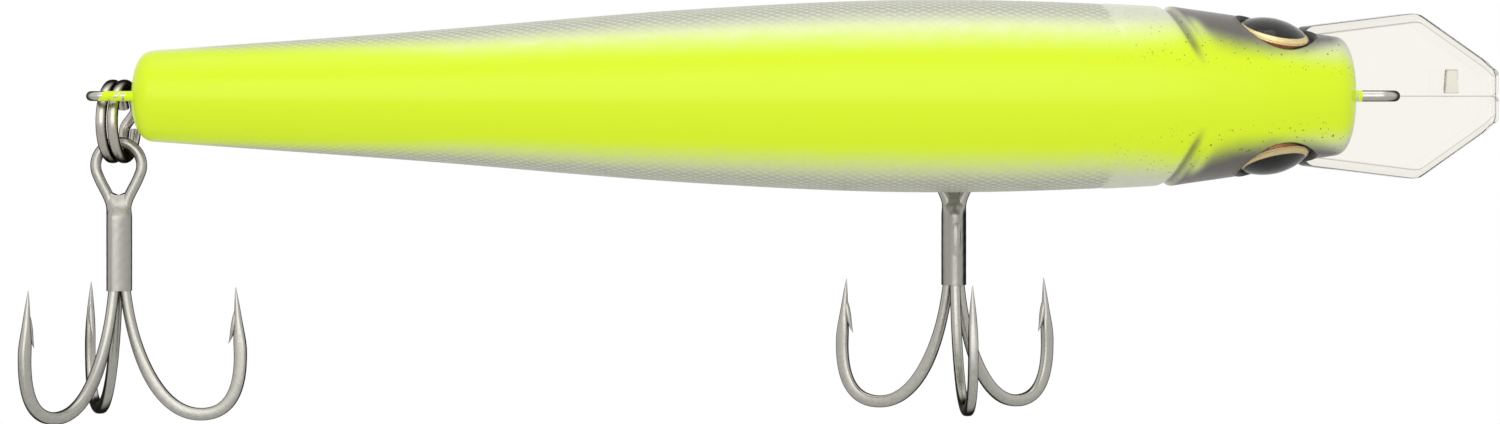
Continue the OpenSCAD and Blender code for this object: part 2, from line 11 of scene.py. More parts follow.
import bpy
import numpy as np
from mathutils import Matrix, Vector


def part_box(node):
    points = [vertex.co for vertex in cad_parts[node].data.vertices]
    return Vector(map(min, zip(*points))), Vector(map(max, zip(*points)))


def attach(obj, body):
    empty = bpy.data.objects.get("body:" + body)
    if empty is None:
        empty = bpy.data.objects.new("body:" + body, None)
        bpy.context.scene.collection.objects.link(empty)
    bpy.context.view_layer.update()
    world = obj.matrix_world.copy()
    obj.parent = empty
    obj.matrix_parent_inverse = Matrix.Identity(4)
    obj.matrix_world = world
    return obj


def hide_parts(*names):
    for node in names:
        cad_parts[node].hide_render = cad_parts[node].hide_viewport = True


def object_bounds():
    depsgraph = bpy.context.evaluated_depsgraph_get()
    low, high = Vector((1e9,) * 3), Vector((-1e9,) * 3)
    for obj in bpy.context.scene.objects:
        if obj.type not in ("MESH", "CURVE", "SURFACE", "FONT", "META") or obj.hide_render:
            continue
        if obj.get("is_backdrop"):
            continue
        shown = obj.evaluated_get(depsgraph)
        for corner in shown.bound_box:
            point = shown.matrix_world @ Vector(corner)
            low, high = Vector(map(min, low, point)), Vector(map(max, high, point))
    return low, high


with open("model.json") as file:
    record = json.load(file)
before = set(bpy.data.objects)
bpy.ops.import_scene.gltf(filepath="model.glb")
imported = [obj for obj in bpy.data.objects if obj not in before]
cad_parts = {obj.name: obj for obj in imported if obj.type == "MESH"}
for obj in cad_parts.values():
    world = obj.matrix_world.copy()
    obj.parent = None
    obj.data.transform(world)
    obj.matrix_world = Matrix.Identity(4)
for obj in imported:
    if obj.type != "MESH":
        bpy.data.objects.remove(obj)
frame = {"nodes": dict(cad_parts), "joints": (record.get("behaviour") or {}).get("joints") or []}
cad_low, cad_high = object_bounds()

# %% [markdown]
# ## Arrays that become pieces
# A skin is a grid of points. It is worked out as one array and handed to the mesh in one call,
# which is quick even for a fine grid. Each piece is one closed mesh, so that it can also be printed.

# %% Grids, closed meshes and soft steps
MM = 0.001


def box_mm(node):
    """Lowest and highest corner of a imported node, in millimetres."""
    return [np.array(corner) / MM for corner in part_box(node)]


def rise(x, low, high):
    """0 below low, 1 above high, and 3 t^2 - 2 t^3 between them."""
    t = np.clip((x - low) / (high - low), 0, 1)
    return t * t * (3 - 2 * t)


def hump(x, middle, width):
    """A bell of height 1 at middle: exp(-((x - middle) / width)^2)."""
    return np.exp(-(((x - middle) / width) ** 2))


def unit(v):
    """Vectors at length 1."""
    return v / np.linalg.norm(v, axis=-1, keepdims=True)


def grid_faces(rows, columns, closed=False):
    """Corners of each cell of a grid stored row by row. closed joins the last column to the first."""
    row, column = np.meshgrid(
        np.arange(rows - 1), np.arange(columns if closed else columns - 1), indexing="ij"
    )
    a, b = row * columns + column, row * columns + (column + 1) % columns
    return np.stack([a, b, b + columns, a + columns], axis=-1).reshape(-1, 4)


def make_piece(name, points, faces, body, material, nodes, marks=None, sharp=38):
    """One closed object. points are in millimetres, faces is a list of arrays of corners, and
    marks are numbers per point that its material reads. An edge that bends by more than sharp
    degrees stays sharp."""
    corners = np.concatenate([np.ravel(f) for f in faces])
    sizes = np.concatenate([np.full(len(f), len(f[0])) for f in faces])
    mesh = bpy.data.meshes.new(name)
    mesh.vertices.add(len(points))
    mesh.vertices.foreach_set("co", np.ravel(points * MM))
    mesh.loops.add(len(corners))
    mesh.loops.foreach_set("vertex_index", corners)
    mesh.polygons.add(len(sizes))
    mesh.polygons.foreach_set("loop_start", np.cumsum(sizes) - sizes)
    mesh.update(calc_edges=True)
    mesh.set_sharp_from_angle(angle=np.radians(sharp))
    for mark, values in (marks or {}).items():
        mesh.attributes.new(mark, "FLOAT", "POINT").data.foreach_set("value", np.ravel(values))
    mesh.materials.append(material)
    made = bpy.data.objects.new(name, mesh)
    bpy.context.scene.collection.objects.link(made)
    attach(made, body)
    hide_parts(*nodes)
    print(name, "points", len(points), "triangles", int((sizes - 2).sum()),
          "open edges", open_edges(corners, sizes))
    return made


def open_edges(corners, sizes):
    """How many edges have other than one face on each side."""
    start = np.repeat(np.cumsum(sizes) - sizes, sizes)
    place = np.arange(len(corners)) - start
    following = corners[start + (place + 1) % np.repeat(sizes, sizes)]
    top = corners.max() + 1
    ahead = np.sort(corners.astype(np.int64) * top + following)
    back = np.sort(following.astype(np.int64) * top + corners)
    return int((ahead != back).sum()) if len(np.unique(ahead)) == len(ahead) else -1


# %% [markdown]
# ## Finishes
# A material is a small net of nodes round one Principled shader. Effects that several finishes
# share, such as fine mottling and paint specks, are node groups that put out colours and masks.

# %% Node helpers
def add_node(tree, kind, links=None, values=None, **settings):
    """One node with its settings, socket values and links."""
    made = tree.nodes.new("ShaderNode" + kind)
    for key, value in settings.items():
        setattr(made, key, value)
    for key, value in (values or {}).items():
        made.inputs[key].default_value = value
    for key, source in (links or {}).items():
        tree.links.new(source, made.inputs[key])
    return made


def connect(tree, socket, value):
    """Links a socket to an output, or sets its number or colour."""
    if isinstance(value, bpy.types.NodeSocket):
        tree.links.new(value, socket)
    else:
        socket.default_value = (*value, 1) if np.ndim(value) == 1 and len(value) == 3 else value


def mix(tree, share, first, second, blend="MIX"):
    """Colour that goes from first to second as share goes from 0 to 1."""
    made = tree.nodes.new("ShaderNodeMix")
    made.data_type, made.blend_type = "RGBA", blend
    for index, value in ((0, share), (6, first), (7, second)):
        connect(tree, made.inputs[index], value)
    return made.outputs[2]


def sums(tree, operation, first, second=0.0, clamp=False):
    """One step of arithmetic on two sockets or numbers."""
    made = tree.nodes.new("ShaderNodeMath")
    made.operation, made.use_clamp = operation, clamp
    connect(tree, made.inputs[0], first)
    connect(tree, made.inputs[1], second)
    return made.outputs[0]


def between(tree, value, low, high, to_low=0.0, to_high=1.0):
    """A socket's range from low to high, carried softly to to_low and to_high."""
    made = add_node(tree, "MapRange", {"Value": value}, interpolation_type="SMOOTHSTEP")
    for name, number in zip(("From Min", "From Max", "To Min", "To Max"), (low, high, to_low, to_high)):
        made.inputs[name].default_value = number
    return made.outputs["Result"]


def new_group(name, inputs, outputs):
    """Empty node group. inputs and outputs are (name, kind) or (name, kind, default)."""
    group = bpy.data.node_groups.new(name, "ShaderNodeTree")
    for way, sockets in (("INPUT", inputs), ("OUTPUT", outputs)):
        for title, kind, *default in sockets:
            made = group.interface.new_socket(title, in_out=way, socket_type="NodeSocket" + kind)
            if default:
                made.default_value = default[0]
    return group, group.nodes.new("NodeGroupInput"), group.nodes.new("NodeGroupOutput")


def place_group(tree, group, **inputs):
    """Puts a group into a material, with its values or links. An underscore stands for a space."""
    made = tree.nodes.new("ShaderNodeGroup")
    made.node_tree = group
    for title, value in inputs.items():
        connect(tree, made.inputs[title.replace("_", " ")], value)
    return made


def new_material(name, **values):
    """Material with a Principled shader and its plain values. Returns it, its net and the shader."""
    made = bpy.data.materials.new(name)
    made.use_nodes = True
    tree = made.node_tree
    shader = tree.nodes["Principled BSDF"]
    for title, value in values.items():
        connect(tree, shader.inputs[title.replace("_", " ")], value)
    return made, tree, shader


def object_place(tree):
    """Where a point of the piece is, in metres."""
    return add_node(tree, "TexCoord").outputs["Object"]


def mark(tree, name):
    """A number that the piece carries at each point."""
    return add_node(tree, "Attribute", attribute_name=name).outputs["Fac"]


# %% Shared groups: mottling and specks
MOTTLE, mottle_in, mottle_out = new_group(
    "mottle",
    [("Colour", "Color"), ("Scale", "Float", 900.0), ("Amount", "Float", 0.15), ("Place", "Vector")],
    [("Colour", "Color"), ("Height", "Float")],
)
_noise = add_node(
    MOTTLE, "TexNoise", {"Vector": mottle_in.outputs["Place"], "Scale": mottle_in.outputs["Scale"]},
    {"Detail": 4.0, "Roughness": 0.6},
)
_shade = sums(MOTTLE, "MULTIPLY_ADD", sums(MOTTLE, "SUBTRACT", _noise.outputs["Fac"], 0.5),
              mottle_in.outputs["Amount"])
_shade.node.inputs[2].default_value = 1.0
_bright = add_node(MOTTLE, "CombineXYZ", {"X": _shade, "Y": _shade, "Z": _shade})
MOTTLE.links.new(mix(MOTTLE, 1.0, mottle_in.outputs["Colour"], _bright.outputs[0], "MULTIPLY"),
                 mottle_out.inputs["Colour"])
MOTTLE.links.new(_noise.outputs["Fac"], mottle_out.inputs["Height"])

SPECKS, specks_in, specks_out = new_group(
    "specks",
    [("Scale", "Float", 1500.0), ("Share", "Float", 0.1), ("Size", "Float", 0.2), ("Place", "Vector")],
    [("Mask", "Float")],
)
_cells = add_node(
    SPECKS, "TexVoronoi", {"Vector": specks_in.outputs["Place"], "Scale": specks_in.outputs["Scale"]}
)
_pick = add_node(SPECKS, "SeparateColor", {"Color": _cells.outputs["Color"]})
_chosen = sums(SPECKS, "LESS_THAN", _pick.outputs["Red"], specks_in.outputs["Share"])
_swing = sums(SPECKS, "ADD", _pick.outputs["Green"], 0.4)
_radius = sums(SPECKS, "MULTIPLY", specks_in.outputs["Size"], _swing)
_dot = sums(SPECKS, "LESS_THAN", _cells.outputs["Distance"], _radius)
SPECKS.links.new(sums(SPECKS, "MULTIPLY", _chosen, _dot), specks_out.inputs["Mask"])
print("groups", MOTTLE.name, SPECKS.name)

# %% [markdown]
# ### The painted body
# Real lures of this kind are sprayed in layers: a pearly silver coat, fluorescent yellow-green on
# the back, a dark purplish grey on the cheeks, and a clear gloss on top. The body's mesh carries a
# mask for each layer, so that the spray follows the shape, and noise breaks the edges up. Two more
# masks paint shade into the gill crease and the grooves between the scales.

# %% Paint on the body
CHARTREUSE = (0.76, 0.98, 0.008)
PEARL = (0.72, 0.74, 0.58)
CHEEK = (0.125, 0.112, 0.098)


def painted_body():
    """Pearl with painted shade in the scale grooves, then yellow-green, cheeks, painted shade in the
    gill crease, specks and the eye sockets, one over the other.
    """
    made, tree, shader = new_material(
        "painted_body", Coat_Roughness=0.24, Specular_IOR_Level=0.25, Coat_IOR=1.5
    )
    place = object_place(tree)
    haze = add_node(tree, "TexNoise", {"Vector": place}, {"Scale": 700.0, "Detail": 5.0}).outputs["Fac"]
    soft = sums(tree, "MULTIPLY", sums(tree, "SUBTRACT", haze, 0.5), 0.35)

    def sprayed(name):
        """A layer's mask with its edge broken up by the haze."""
        value = mark(tree, name)
        edge = sums(tree, "MULTIPLY", value, sums(tree, "SUBTRACT", 1.0, value))
        broken = sums(tree, "MULTIPLY", edge, sums(tree, "MULTIPLY", soft, 3.0))
        return sums(tree, "ADD", value, broken, True)

    back, cheek = sprayed("back"), sprayed("cheek")
    pearl = place_group(tree, MOTTLE, Colour=PEARL, Scale=1500.0, Amount=0.22, Place=place)
    # Painted shade: the grooves between the raised scales are darkened, where shade falls in them.
    scale_groove_shade = sums(tree, "MULTIPLY", mark(tree, "groove"), 0.85)
    colour = mix(tree, scale_groove_shade, pearl.outputs["Colour"], (0.20, 0.19, 0.15))
    colour = mix(tree, back, colour, CHARTREUSE)
    colour = mix(tree, cheek, colour, CHEEK)
    # Painted shade: the gill crease is darkened to a near-black brown.
    colour = mix(tree, mark(tree, "gill_crease_shade"), colour, (0.12, 0.10, 0.075))
    specks = place_group(tree, SPECKS, Scale=4200.0, Share=0.17, Size=0.3, Place=place)
    dots = sums(tree, "MULTIPLY", specks.outputs["Mask"], mark(tree, "specks"))
    colour = mix(tree, dots, colour, (0.07, 0.07, 0.04))
    socket = mark(tree, "socket")
    colour = mix(tree, socket, colour, (0.035, 0.036, 0.028))
    connect(tree, shader.inputs["Base Color"], colour)
    bare = sums(tree, "MULTIPLY", sums(tree, "SUBTRACT", 1.0, back), sums(tree, "SUBTRACT", 1.0, cheek))
    connect(tree, shader.inputs["Metallic"], sums(tree, "MULTIPLY", bare, 0.3))
    connect(tree, shader.inputs["Roughness"], between(tree, haze, 0.3, 0.7, 0.34, 0.44))
    gloss = sums(tree, "SUBTRACT", 0.4, sums(tree, "MULTIPLY", socket, 0.2))
    connect(tree, shader.inputs["Coat Weight"], gloss)
    peel = add_node(tree, "Bump", {"Height": haze}, {"Strength": 0.12, "Distance": 0.00006})
    connect(tree, shader.inputs["Normal"], peel.outputs["Normal"])
    return made


# %% [markdown]
# ### Metals and clear plastic
# The hooks and rings are nickel-plated steel with a satin surface. The wire hangers were in place
# when the body was sprayed, so flecks of paint sit on them. The lip is clear polycarbonate.

# %% Metal and plastic
def steel(name, colour, roughness, grain, edge=(0.4, 0.39, 0.37), paint=None):
    """Satin plated wire: mottled reflection colour and roughness, with paint where it is marked.
    At a slanting look the colour darkens, a painted dark reflection along the wire's edges. edge is
    the share of the reflection that is left at a slanting look."""
    made, tree, shader = new_material(name, Specular_Tint=edge)
    place = object_place(tree)
    tone = place_group(tree, MOTTLE, Colour=colour, Scale=grain, Amount=0.3, Place=place)
    height = tone.outputs["Height"]
    pits = add_node(tree, "Bump", {"Height": height}, {"Strength": 0.25, "Distance": 0.00003})
    # Painted shade: the base colour darkens to a seventh at slanting looks, a painted dark reflection along
    # the edges.
    rim = between(tree, add_node(tree, "LayerWeight").outputs["Facing"], 0.34, 0.62)
    dark = [0.14 * channel for channel in colour]
    base, metal = mix(tree, rim, tone.outputs["Colour"], dark), 1.0
    rough = between(tree, height, 0.3, 0.7, roughness * 0.8, roughness * 1.25)
    if paint is not None:
        noise = add_node(tree, "TexNoise", {"Vector": place}, {"Scale": 1300.0, "Detail": 3.0})
        flakes = noise.outputs["Fac"]
        amount = sums(tree, "SUBTRACT", mark(tree, "sprayed"), 0.5)
        cover = between(tree, sums(tree, "ADD", flakes, amount), 0.46, 0.54)
        tint = mix(tree, between(tree, flakes, 0.58, 0.72), paint, (0.66, 0.70, 0.50))
        base = mix(tree, cover, base, tint)
        metal = sums(tree, "SUBTRACT", 1.0, cover)
    connect(tree, shader.inputs["Base Color"], base)
    connect(tree, shader.inputs["Metallic"], metal)
    connect(tree, shader.inputs["Roughness"], rough)
    connect(tree, shader.inputs["Normal"], pits.outputs["Normal"])
    return made


def clear_plastic(name, colour, roughness, bend=1.5, rim=None):
    """Moulded clear plastic, with faint flow marks. bend is its index of refraction. Where the mesh
    marks a rim, the plastic takes that colour: painted shade for the dark lines along clear edges."""
    made, tree, shader = new_material(name, Transmission_Weight=1.0, IOR=bend, Roughness=roughness)
    place = object_place(tree)
    base = colour if rim is None else mix(tree, mark(tree, "rim"), colour, rim)
    tint = place_group(tree, MOTTLE, Colour=base, Scale=160.0, Amount=0.05, Place=place)
    height = tint.outputs["Height"]
    flow = add_node(tree, "Bump", {"Height": height}, {"Strength": 0.05, "Distance": 0.0001})
    connect(tree, shader.inputs["Base Color"], tint.outputs["Colour"])
    connect(tree, shader.inputs["Normal"], flow.outputs["Normal"])
    return made


BODY_PAINT = painted_body()
TIE_STEEL = steel("tie_steel", (0.50, 0.48, 0.44), 0.25, 1800.0, paint=CHARTREUSE)
HANGER_STEEL = steel("hanger_steel", (0.50, 0.48, 0.44), 0.28, 1800.0, paint=CHARTREUSE)
RING_STEEL = steel("ring_steel", (0.50, 0.47, 0.42), 0.26, 2200.0, (0.25, 0.24, 0.22))
HOOK_STEEL = steel("hook_steel", (0.45, 0.44, 0.40), 0.33, 2600.0, (0.25, 0.25, 0.23))
BRAZE_METAL = steel("braze_metal", (0.39, 0.38, 0.345), 0.36, 2000.0, (0.22, 0.22, 0.2))
# The lip's rim colour is painted shade: dark lines along the edges of the clear plate.
LIP_PLASTIC = clear_plastic("lip_plastic", (0.92, 0.90, 0.83), 0.015, rim=(0.22, 0.17, 0.16))
TUBE_PLASTIC = clear_plastic("tube_plastic", (0.93, 0.95, 0.96), 0.08)
BALL_STEEL = steel("ball_steel", (0.6, 0.6, 0.6), 0.12, 1200.0)
BALLAST_METAL = steel("ballast_metal", (0.3, 0.3, 0.31), 0.5, 900.0)
print("finishes", len(bpy.data.materials))

# %% [markdown]
# ## The body
# The body is a run of cross-sections from the nose face to the tail. Four numbers at eight places
# give its outline: half width, back height and belly depth. A cubic through them gives every
# section between, and both ends close like a flattened dome. One half is worked out, and the
# other is its mirror image, because that is how the mould makes them.

# %% Outline
BODY_LENGTH, BODY_WIDTH, BODY_DEPTH = 110.0, 17.3, 18.9
NOSE_ROUND, TAIL_ROUND, WALL = 1.9, 2.0, 1.5
STATIONS = np.array([
    [0, 0.59, 0.19, 0.22], [0.036, 0.66, 0.26, 0.285], [0.09, 0.82, 0.34, 0.38],
    [0.18, 0.94, 0.42, 0.475], [0.36, 1, 0.47, 0.53], [0.545, 0.9, 0.435, 0.455],
    [0.77, 0.67, 0.32, 0.31], [1, 0.46, 0.195, 0.195],
])
tail_x = box_mm("left_half_shell")[0][0]
nose_x = tail_x + BODY_LENGTH


def cubic(at, value, slope, where):
    """Cubic Hermite curve: between two places it keeps the values and slopes at both."""
    i = np.clip(np.searchsorted(at, where, side="right") - 1, 0, len(at) - 2)
    span = at[i + 1] - at[i]
    t = (where - at[i]) / span
    if value.ndim > 1:
        t, span = t[:, None], span[:, None]
    return ((2 * t**3 - 3 * t**2 + 1) * value[i] + (t**3 - 2 * t**2 + t) * span * slope[i]
            + (3 * t**2 - 2 * t**3) * value[i + 1] + (t**3 - t**2) * span * slope[i + 1])


def outline(u, column):
    """Share of the size u behind the nose face. A station's slope is that of the line past it."""
    at, value = STATIONS[:, 0], STATIONS[:, column]
    before = np.maximum(np.arange(len(at)) - 1, 0)
    after = np.minimum(np.arange(len(at)) + 1, len(at) - 1)
    slope = (value[after] - value[before]) / (at[after] - at[before])
    return cubic(at, value, slope, u / BODY_LENGTH)


def section(u, full, angle, inset=0.0):
    """Point of the left half's skin: -cos(angle) of the back height or belly depth, and sin(angle)
    of the half width, with angle 0 on the back, 90 on the flank and 180 on the belly."""
    turn = np.radians(angle)
    width = outline(u, 1) * BODY_WIDTH / 2 * full - inset
    back, belly = (outline(u, column) * BODY_DEPTH * full - inset for column in (2, 3))
    y = -np.cos(turn) * np.where(np.asarray(angle) < 90, back, belly)
    return np.stack(np.broadcast_arrays(nose_x - u, y, np.sin(turn) * width), axis=-1)


def end_rows(count, reach):
    """Rows of a rounded end, from its tip to its full size: distance from the tip and fullness.
    The rounding is a superellipse of power 2.5."""
    turn = np.linspace(0, np.pi / 2, count + 1)[1:]
    return reach * (1 - np.cos(turn) ** 0.8), np.sin(turn) ** 0.8


nose_u, nose_full = end_rows(16, NOSE_ROUND)
tail_u, tail_full = end_rows(16, TAIL_ROUND)
SCALE_LENGTH, SCALE_WIDTH = 1.04, 0.78
SCALES_FROM = 20.8
head_u = np.arange(NOSE_ROUND + 0.13, SCALES_FROM, 0.13)
flank_u = np.arange(SCALES_FROM, BODY_LENGTH - TAIL_ROUND - 0.1, SCALE_LENGTH / 4)
row_u = np.concatenate([nose_u, head_u, flank_u, (BODY_LENGTH - tail_u)[::-1]])
row_full = np.concatenate([nose_full, np.ones(len(head_u) + len(flank_u)), tail_full[::-1]])
angles = np.concatenate([[0, 0.2, 1, 2.5, 5, 8, 11, 14, 17, 20, 23, 25.5, 27.5, 29],
                         np.arange(30, 179.5, 1.0), [179.8, 180]])
u, full, angle = row_u[:, None], row_full[:, None], angles[None, :]
skin = section(u, full, angle)
print("rows", len(row_u), "columns", len(angles), "nose", round(nose_x, 2), "tail", round(tail_x, 2))

# %% [markdown]
# The gill cover, the smooth plate behind it and the net of scales are all raised or sunk along the
# skin's own direction, by amounts that depend on the place along the body and round it.

# %% Relief of the skin
outward = unit(np.cross(np.gradient(skin, axis=1), np.gradient(skin, axis=0)))
outward[:, [0, -1], 2] = 0
outward = unit(outward)
steps = np.linalg.norm(np.diff(skin, axis=1), axis=2)
girth = np.concatenate([np.zeros((len(row_u), 1)), np.cumsum(steps, axis=1)], axis=1)
girth = girth - girth[:, [int(np.argmin(abs(angles - 90)))]]

gill_u = 17.1 - 2.9 * (abs(angle - 95) / 70) ** 1.4
behind_gill = u - gill_u
gill = rise(angle, 19, 38) * (1 - rise(angle, 138, 165))
plate_u = 22.8 - 2.0 * (abs(angle - 95) / 60) ** 1.5
cover = np.exp(np.minimum(behind_gill, 0) / 2.2) * (1 - rise(behind_gill, -0.3, 0.3))
groove = hump(behind_gill, 0.25, 0.42)
plate = rise(behind_gill, 0.2, 1.2) * (1 - rise(u, plate_u - 0.2, plate_u + 0.25))

net_a = (u - SCALES_FROM) / SCALE_LENGTH + girth / SCALE_WIDTH
net_b = (u - SCALES_FROM) / SCALE_LENGTH - girth / SCALE_WIDTH
dome = abs(np.sin(np.pi * net_a) * np.sin(np.pi * net_b)) ** 0.5
tilt = 0.55 + 0.45 * (net_a % 1 + net_b % 1) / 2
scaled = (rise(angle, 44, 68) * (1 - rise(angle, 156, 172))
          * rise(u, plate_u + 0.1, plate_u + 0.7) * (1 - rise(u, 101, 107)))
relief = (gill * (0.22 * cover - 0.24 * groove) + 0.06 * gill * plate
          + 0.07 * scaled * (dome * tilt - 0.5))
skin = skin + relief[..., None] * outward
print("deepest relief", round(float(relief.min()), 2), "highest", round(float(relief.max()), 2))

# %% [markdown]
# Each eye sits in an almond-shaped hollow with pointed ends. The skin inside the almond is pushed
# down along the eye's own axis, and its rim stands up as a thin bead.

# %% Eye sockets
EYE_BACK, EYE_TURN, EYE_NOSEWARD = 7.3, 18.5, 13.0
LENS_R, SOCKET_LENGTH = 3.1, 7.4
SEAT_DEPTH, SOCKET_DEPTH = 1.15, 0.75


def eye_frame():
    """Centre and axes of the left eye: rows are towards the nose, the belly and outwards."""
    a, b = np.radians(EYE_TURN), np.radians(EYE_NOSEWARD)
    first = np.array([[1, 0, 0], [0, np.cos(a), np.sin(a)], [0, -np.sin(a), np.cos(a)]])
    second = np.array([[np.cos(b), 0, -np.sin(b)], [0, 1, 0], [np.sin(b), 0, np.cos(b)]])
    return section(EYE_BACK, 1.0, 90 - EYE_TURN), first @ second


def almond(x, y):
    """Distance outside an almond made by two arcs, negative inside."""
    r = (SOCKET_LENGTH**2 / 4 + LENS_R**2) / (2 * LENS_R)
    return np.maximum(np.hypot(x, y - r + LENS_R), np.hypot(x, y + r - LENS_R)) - r


eye_centre, eye_axes = eye_frame()
local = (skin - eye_centre) @ eye_axes.T
edge = almond(local[..., 0], local[..., 1])
near = (local[..., 2] > -4).astype(float)
from_axis = np.hypot(local[..., 0], local[..., 1])
floor = -SOCKET_DEPTH - 0.55 * (1 - rise(from_axis, LENS_R - 0.15, LENS_R + 0.02))
sunk = near * (1 - rise(edge, -0.22, 0.02))
drop = np.minimum(sunk * (floor - local[..., 2]), 0)
bead = near * 0.09 * hump(edge, 0.12, 0.13)
skin = skin + (drop + bead)[..., None] * eye_axes[2]
print("socket depth", round(float(-drop.min()), 2))

# %% [markdown]
# The masks say where each layer of paint lies, and where shade is painted into the gill crease and
# the scale grooves. They are worked out on the same grid. On the right half the yellow-green
# reaches a few degrees further down the flank.

# %% Spray masks
def along(places, values):
    """A value that changes along the body, from a few places."""
    return np.interp(u, places, values)


SPRAY_U = [0, 4, 8, 12, 16, 20, 40, 60, 80, 100, 110]
back_edge = (along(SPRAY_U, [24, 22, 24, 36, 32, 26, 24, 25, 29, 50, 66]),
             along(SPRAY_U, [70, 64, 62, 70, 70, 64, 60, 61, 66, 86, 100]))
ridge = gill * hump(behind_gill, -1.0, 0.6) * (1 - rise(angle, 52, 70))
CHEEK_U = [0, 2, 5, 8, 11, 14, 16.4, 20]
cheek = rise(angle, along(CHEEK_U, [48, 46, 32, 26, 24, 28, 34, 44]),
             along(CHEEK_U, [84, 76, 56, 50, 52, 58, 64, 70]))
cheek = cheek * (1 - rise(angle, 112, 140)) * (1 - rise(behind_gill, -0.6, 0.1)) * rise(u, 0.3, 2.5)
# Painted shade along the gill crease, fading out towards the flank.
gill_crease_shade = gill * hump(behind_gill, 0.25, 0.36) * (1 - rise(angle, 76, 92)) * 0.75
speckled = rise(angle, 14, 34) * (1 - rise(angle, 80, 100)) * (0.85 - 0.85 * rise(u, 12, 26))


def paint_and_shade_marks(further):
    """Masks of one half, for paint and for painted shade, with the back's colour some degrees
    further down the flank.
    """
    back = 1 - rise(angle, back_edge[0] + further, back_edge[1] + further)
    # The groove mask darkens the recesses between the scales and the crease mask darkens the gill crease:
    # both are painted shade.
    found = {
        "back": np.maximum(back, 0.7 * ridge), "cheek": cheek * (1 - 0.75 * ridge), "gill_crease_shade": gill_crease_shade,
        "specks": speckled, "groove": scaled * (1 - dome), "socket": near * (1 - rise(edge, -0.05, 0.16)),
    }
    return {name: np.broadcast_to(value, skin.shape[:2]) for name, value in found.items()}


# %% [markdown]
# Inside, the wall is as thick as the mould makes it, and the seat of the weight tube is bored a
# little further out. The two halves meet in a flat rim.

# %% Inner skin and rim
CAVITY = (11.5, BODY_LENGTH - 9)
tube_low, tube_high = box_mm("weight_tube")
tube_y, tube_r = (tube_low[1] + tube_high[1]) / 2, (tube_high[1] - tube_low[1]) / 2 + 0.05
cavity_rows = np.flatnonzero((row_u > CAVITY[0]) & (row_u < CAVITY[1]))
inner_angles = np.linspace(0, 180, 13)
inner_u = row_u[cavity_rows][:, None]
inner = section(inner_u, 1.0, inner_angles[None, :], WALL)
reach = np.hypot(inner[..., 1], inner[..., 2])
toward = inner[..., 1:] / reach[..., None]
bore = toward[..., 0] * tube_y + np.sqrt((toward[..., 0] * tube_y) ** 2 - tube_y**2 + tube_r**2)
bored = (inner[..., 0] > tube_low[0] - 0.2) & (inner[..., 0] < tube_high[0] + 0.2)
reach = np.where(bored, np.maximum(reach, bore), reach)
inner[..., 1:] = toward * reach[..., None]
inner[:, [0, -1], 2] = 0


def half_body(side, marks):
    """Points and faces of one half: outer skin, inner skin, end walls and the rim between them."""
    rows, columns = skin.shape[:2]
    inner_rows, inner_columns = inner.shape[:2]
    poles = np.array([[nose_x, 0, 0], [tail_x, 0, 0]])
    points = np.concatenate([skin.reshape(-1, 3), inner.reshape(-1, 3), poles]) * [1, 1, side]
    out = np.arange(rows * columns).reshape(rows, columns)
    into = rows * columns + np.arange(inner_rows * inner_columns).reshape(inner_rows, inner_columns)
    nose, tail = len(points) - 2, len(points) - 1
    first, last = cavity_rows[0], cavity_rows[-1]

    def strip(one, other, start, stop):
        """Cells between two lines of points."""
        return np.stack([one[start:stop], one[start + 1 : stop + 1],
                         other[start + 1 : stop + 1], other[start:stop]], axis=-1)

    near_back, near_belly = out[first : last + 1, 0], out[first : last + 1, -1]
    nothing = len(cavity_rows) - 1
    fan = np.arange(columns - 1)
    faces = [
        grid_faces(rows, columns), rows * columns + grid_faces(inner_rows, inner_columns)[:, ::-1],
        strip(out[:, 0], out[:, -1], 0, first - 1), strip(out[:, 0], out[:, -1], last + 1, rows - 1),
        strip(near_back, into[:, 0], 0, nothing), strip(into[:, -1], near_belly, 0, nothing),
        np.stack([np.full(len(fan), nose), out[0, fan + 1], out[0, fan]], axis=-1),
        np.stack([out[-1, fan], out[-1, fan + 1], np.full(len(fan), tail)], axis=-1),
        np.array([[nose, out[0, 0], out[0, -1]], [out[-1, 0], tail, out[-1, -1]]]),
        into[:1, :], into[-1:, ::-1],
        np.array([
            [out[first - 1, 0], out[first, 0], into[0, 0], into[0, -1], out[first, -1], out[first - 1, -1]],
            [out[last, 0], out[last + 1, 0], out[last + 1, -1], out[last, -1], into[-1, -1], into[-1, 0]],
        ]),
    ]
    if side < 0:
        faces = [f[:, ::-1] for f in faces]
    extra = inner_rows * inner_columns
    carried = {name: np.concatenate([value.ravel(), np.zeros(extra), value[[0, -1], 0]])
               for name, value in marks.items()}
    return points, faces, carried


for side, name, further in ((1, "left", 0), (-1, "right", 4)):
    body_points, body_faces, carried = half_body(side, paint_and_shade_marks(further))
    make_piece(f"{name}_body_half", body_points, body_faces, "lure_body", BODY_PAINT,
               [f"{name}_half_shell"], carried)

# %% [markdown]
# ## The diving lip
# Each half of the body is moulded in one with half of the lip, in clear plastic that stays
# unpainted. The lip is a flat plate with a wide bevel on the side of the back. Its outline is a
# polygon with rounded corners, repeated at a few heights with a little inset, which makes the bevel.
# A small low pad stands on the left half. It is made the same way, from an outline of its own.

# %% Lip outline and plate
LIP_ANGLE, LIP_DROP, LIP_LENGTH, LIP_WIDTH, LIP_TIP = 32.0, 4.6, 17.8, 15.2, 4.6
ROOT_BACK, SEAM_GAP = 7.0, 0.012


def moved_in(corners, distances):
    """Polygon whose edges have moved inwards, each by its own distance. A new corner is where two
    moved edges cross."""
    ahead = unit(np.roll(corners, -1, axis=0) - corners)
    inwards = np.stack([-ahead[:, 1], ahead[:, 0]], axis=-1)
    level = (inwards * corners).sum(1) + distances
    before, level_before = np.roll(inwards, 1, axis=0), np.roll(level, 1)
    edges = np.stack([before, inwards], axis=1)
    levels = np.stack([level_before, level], axis=1)[..., None]
    return np.linalg.solve(edges, levels)[..., 0]


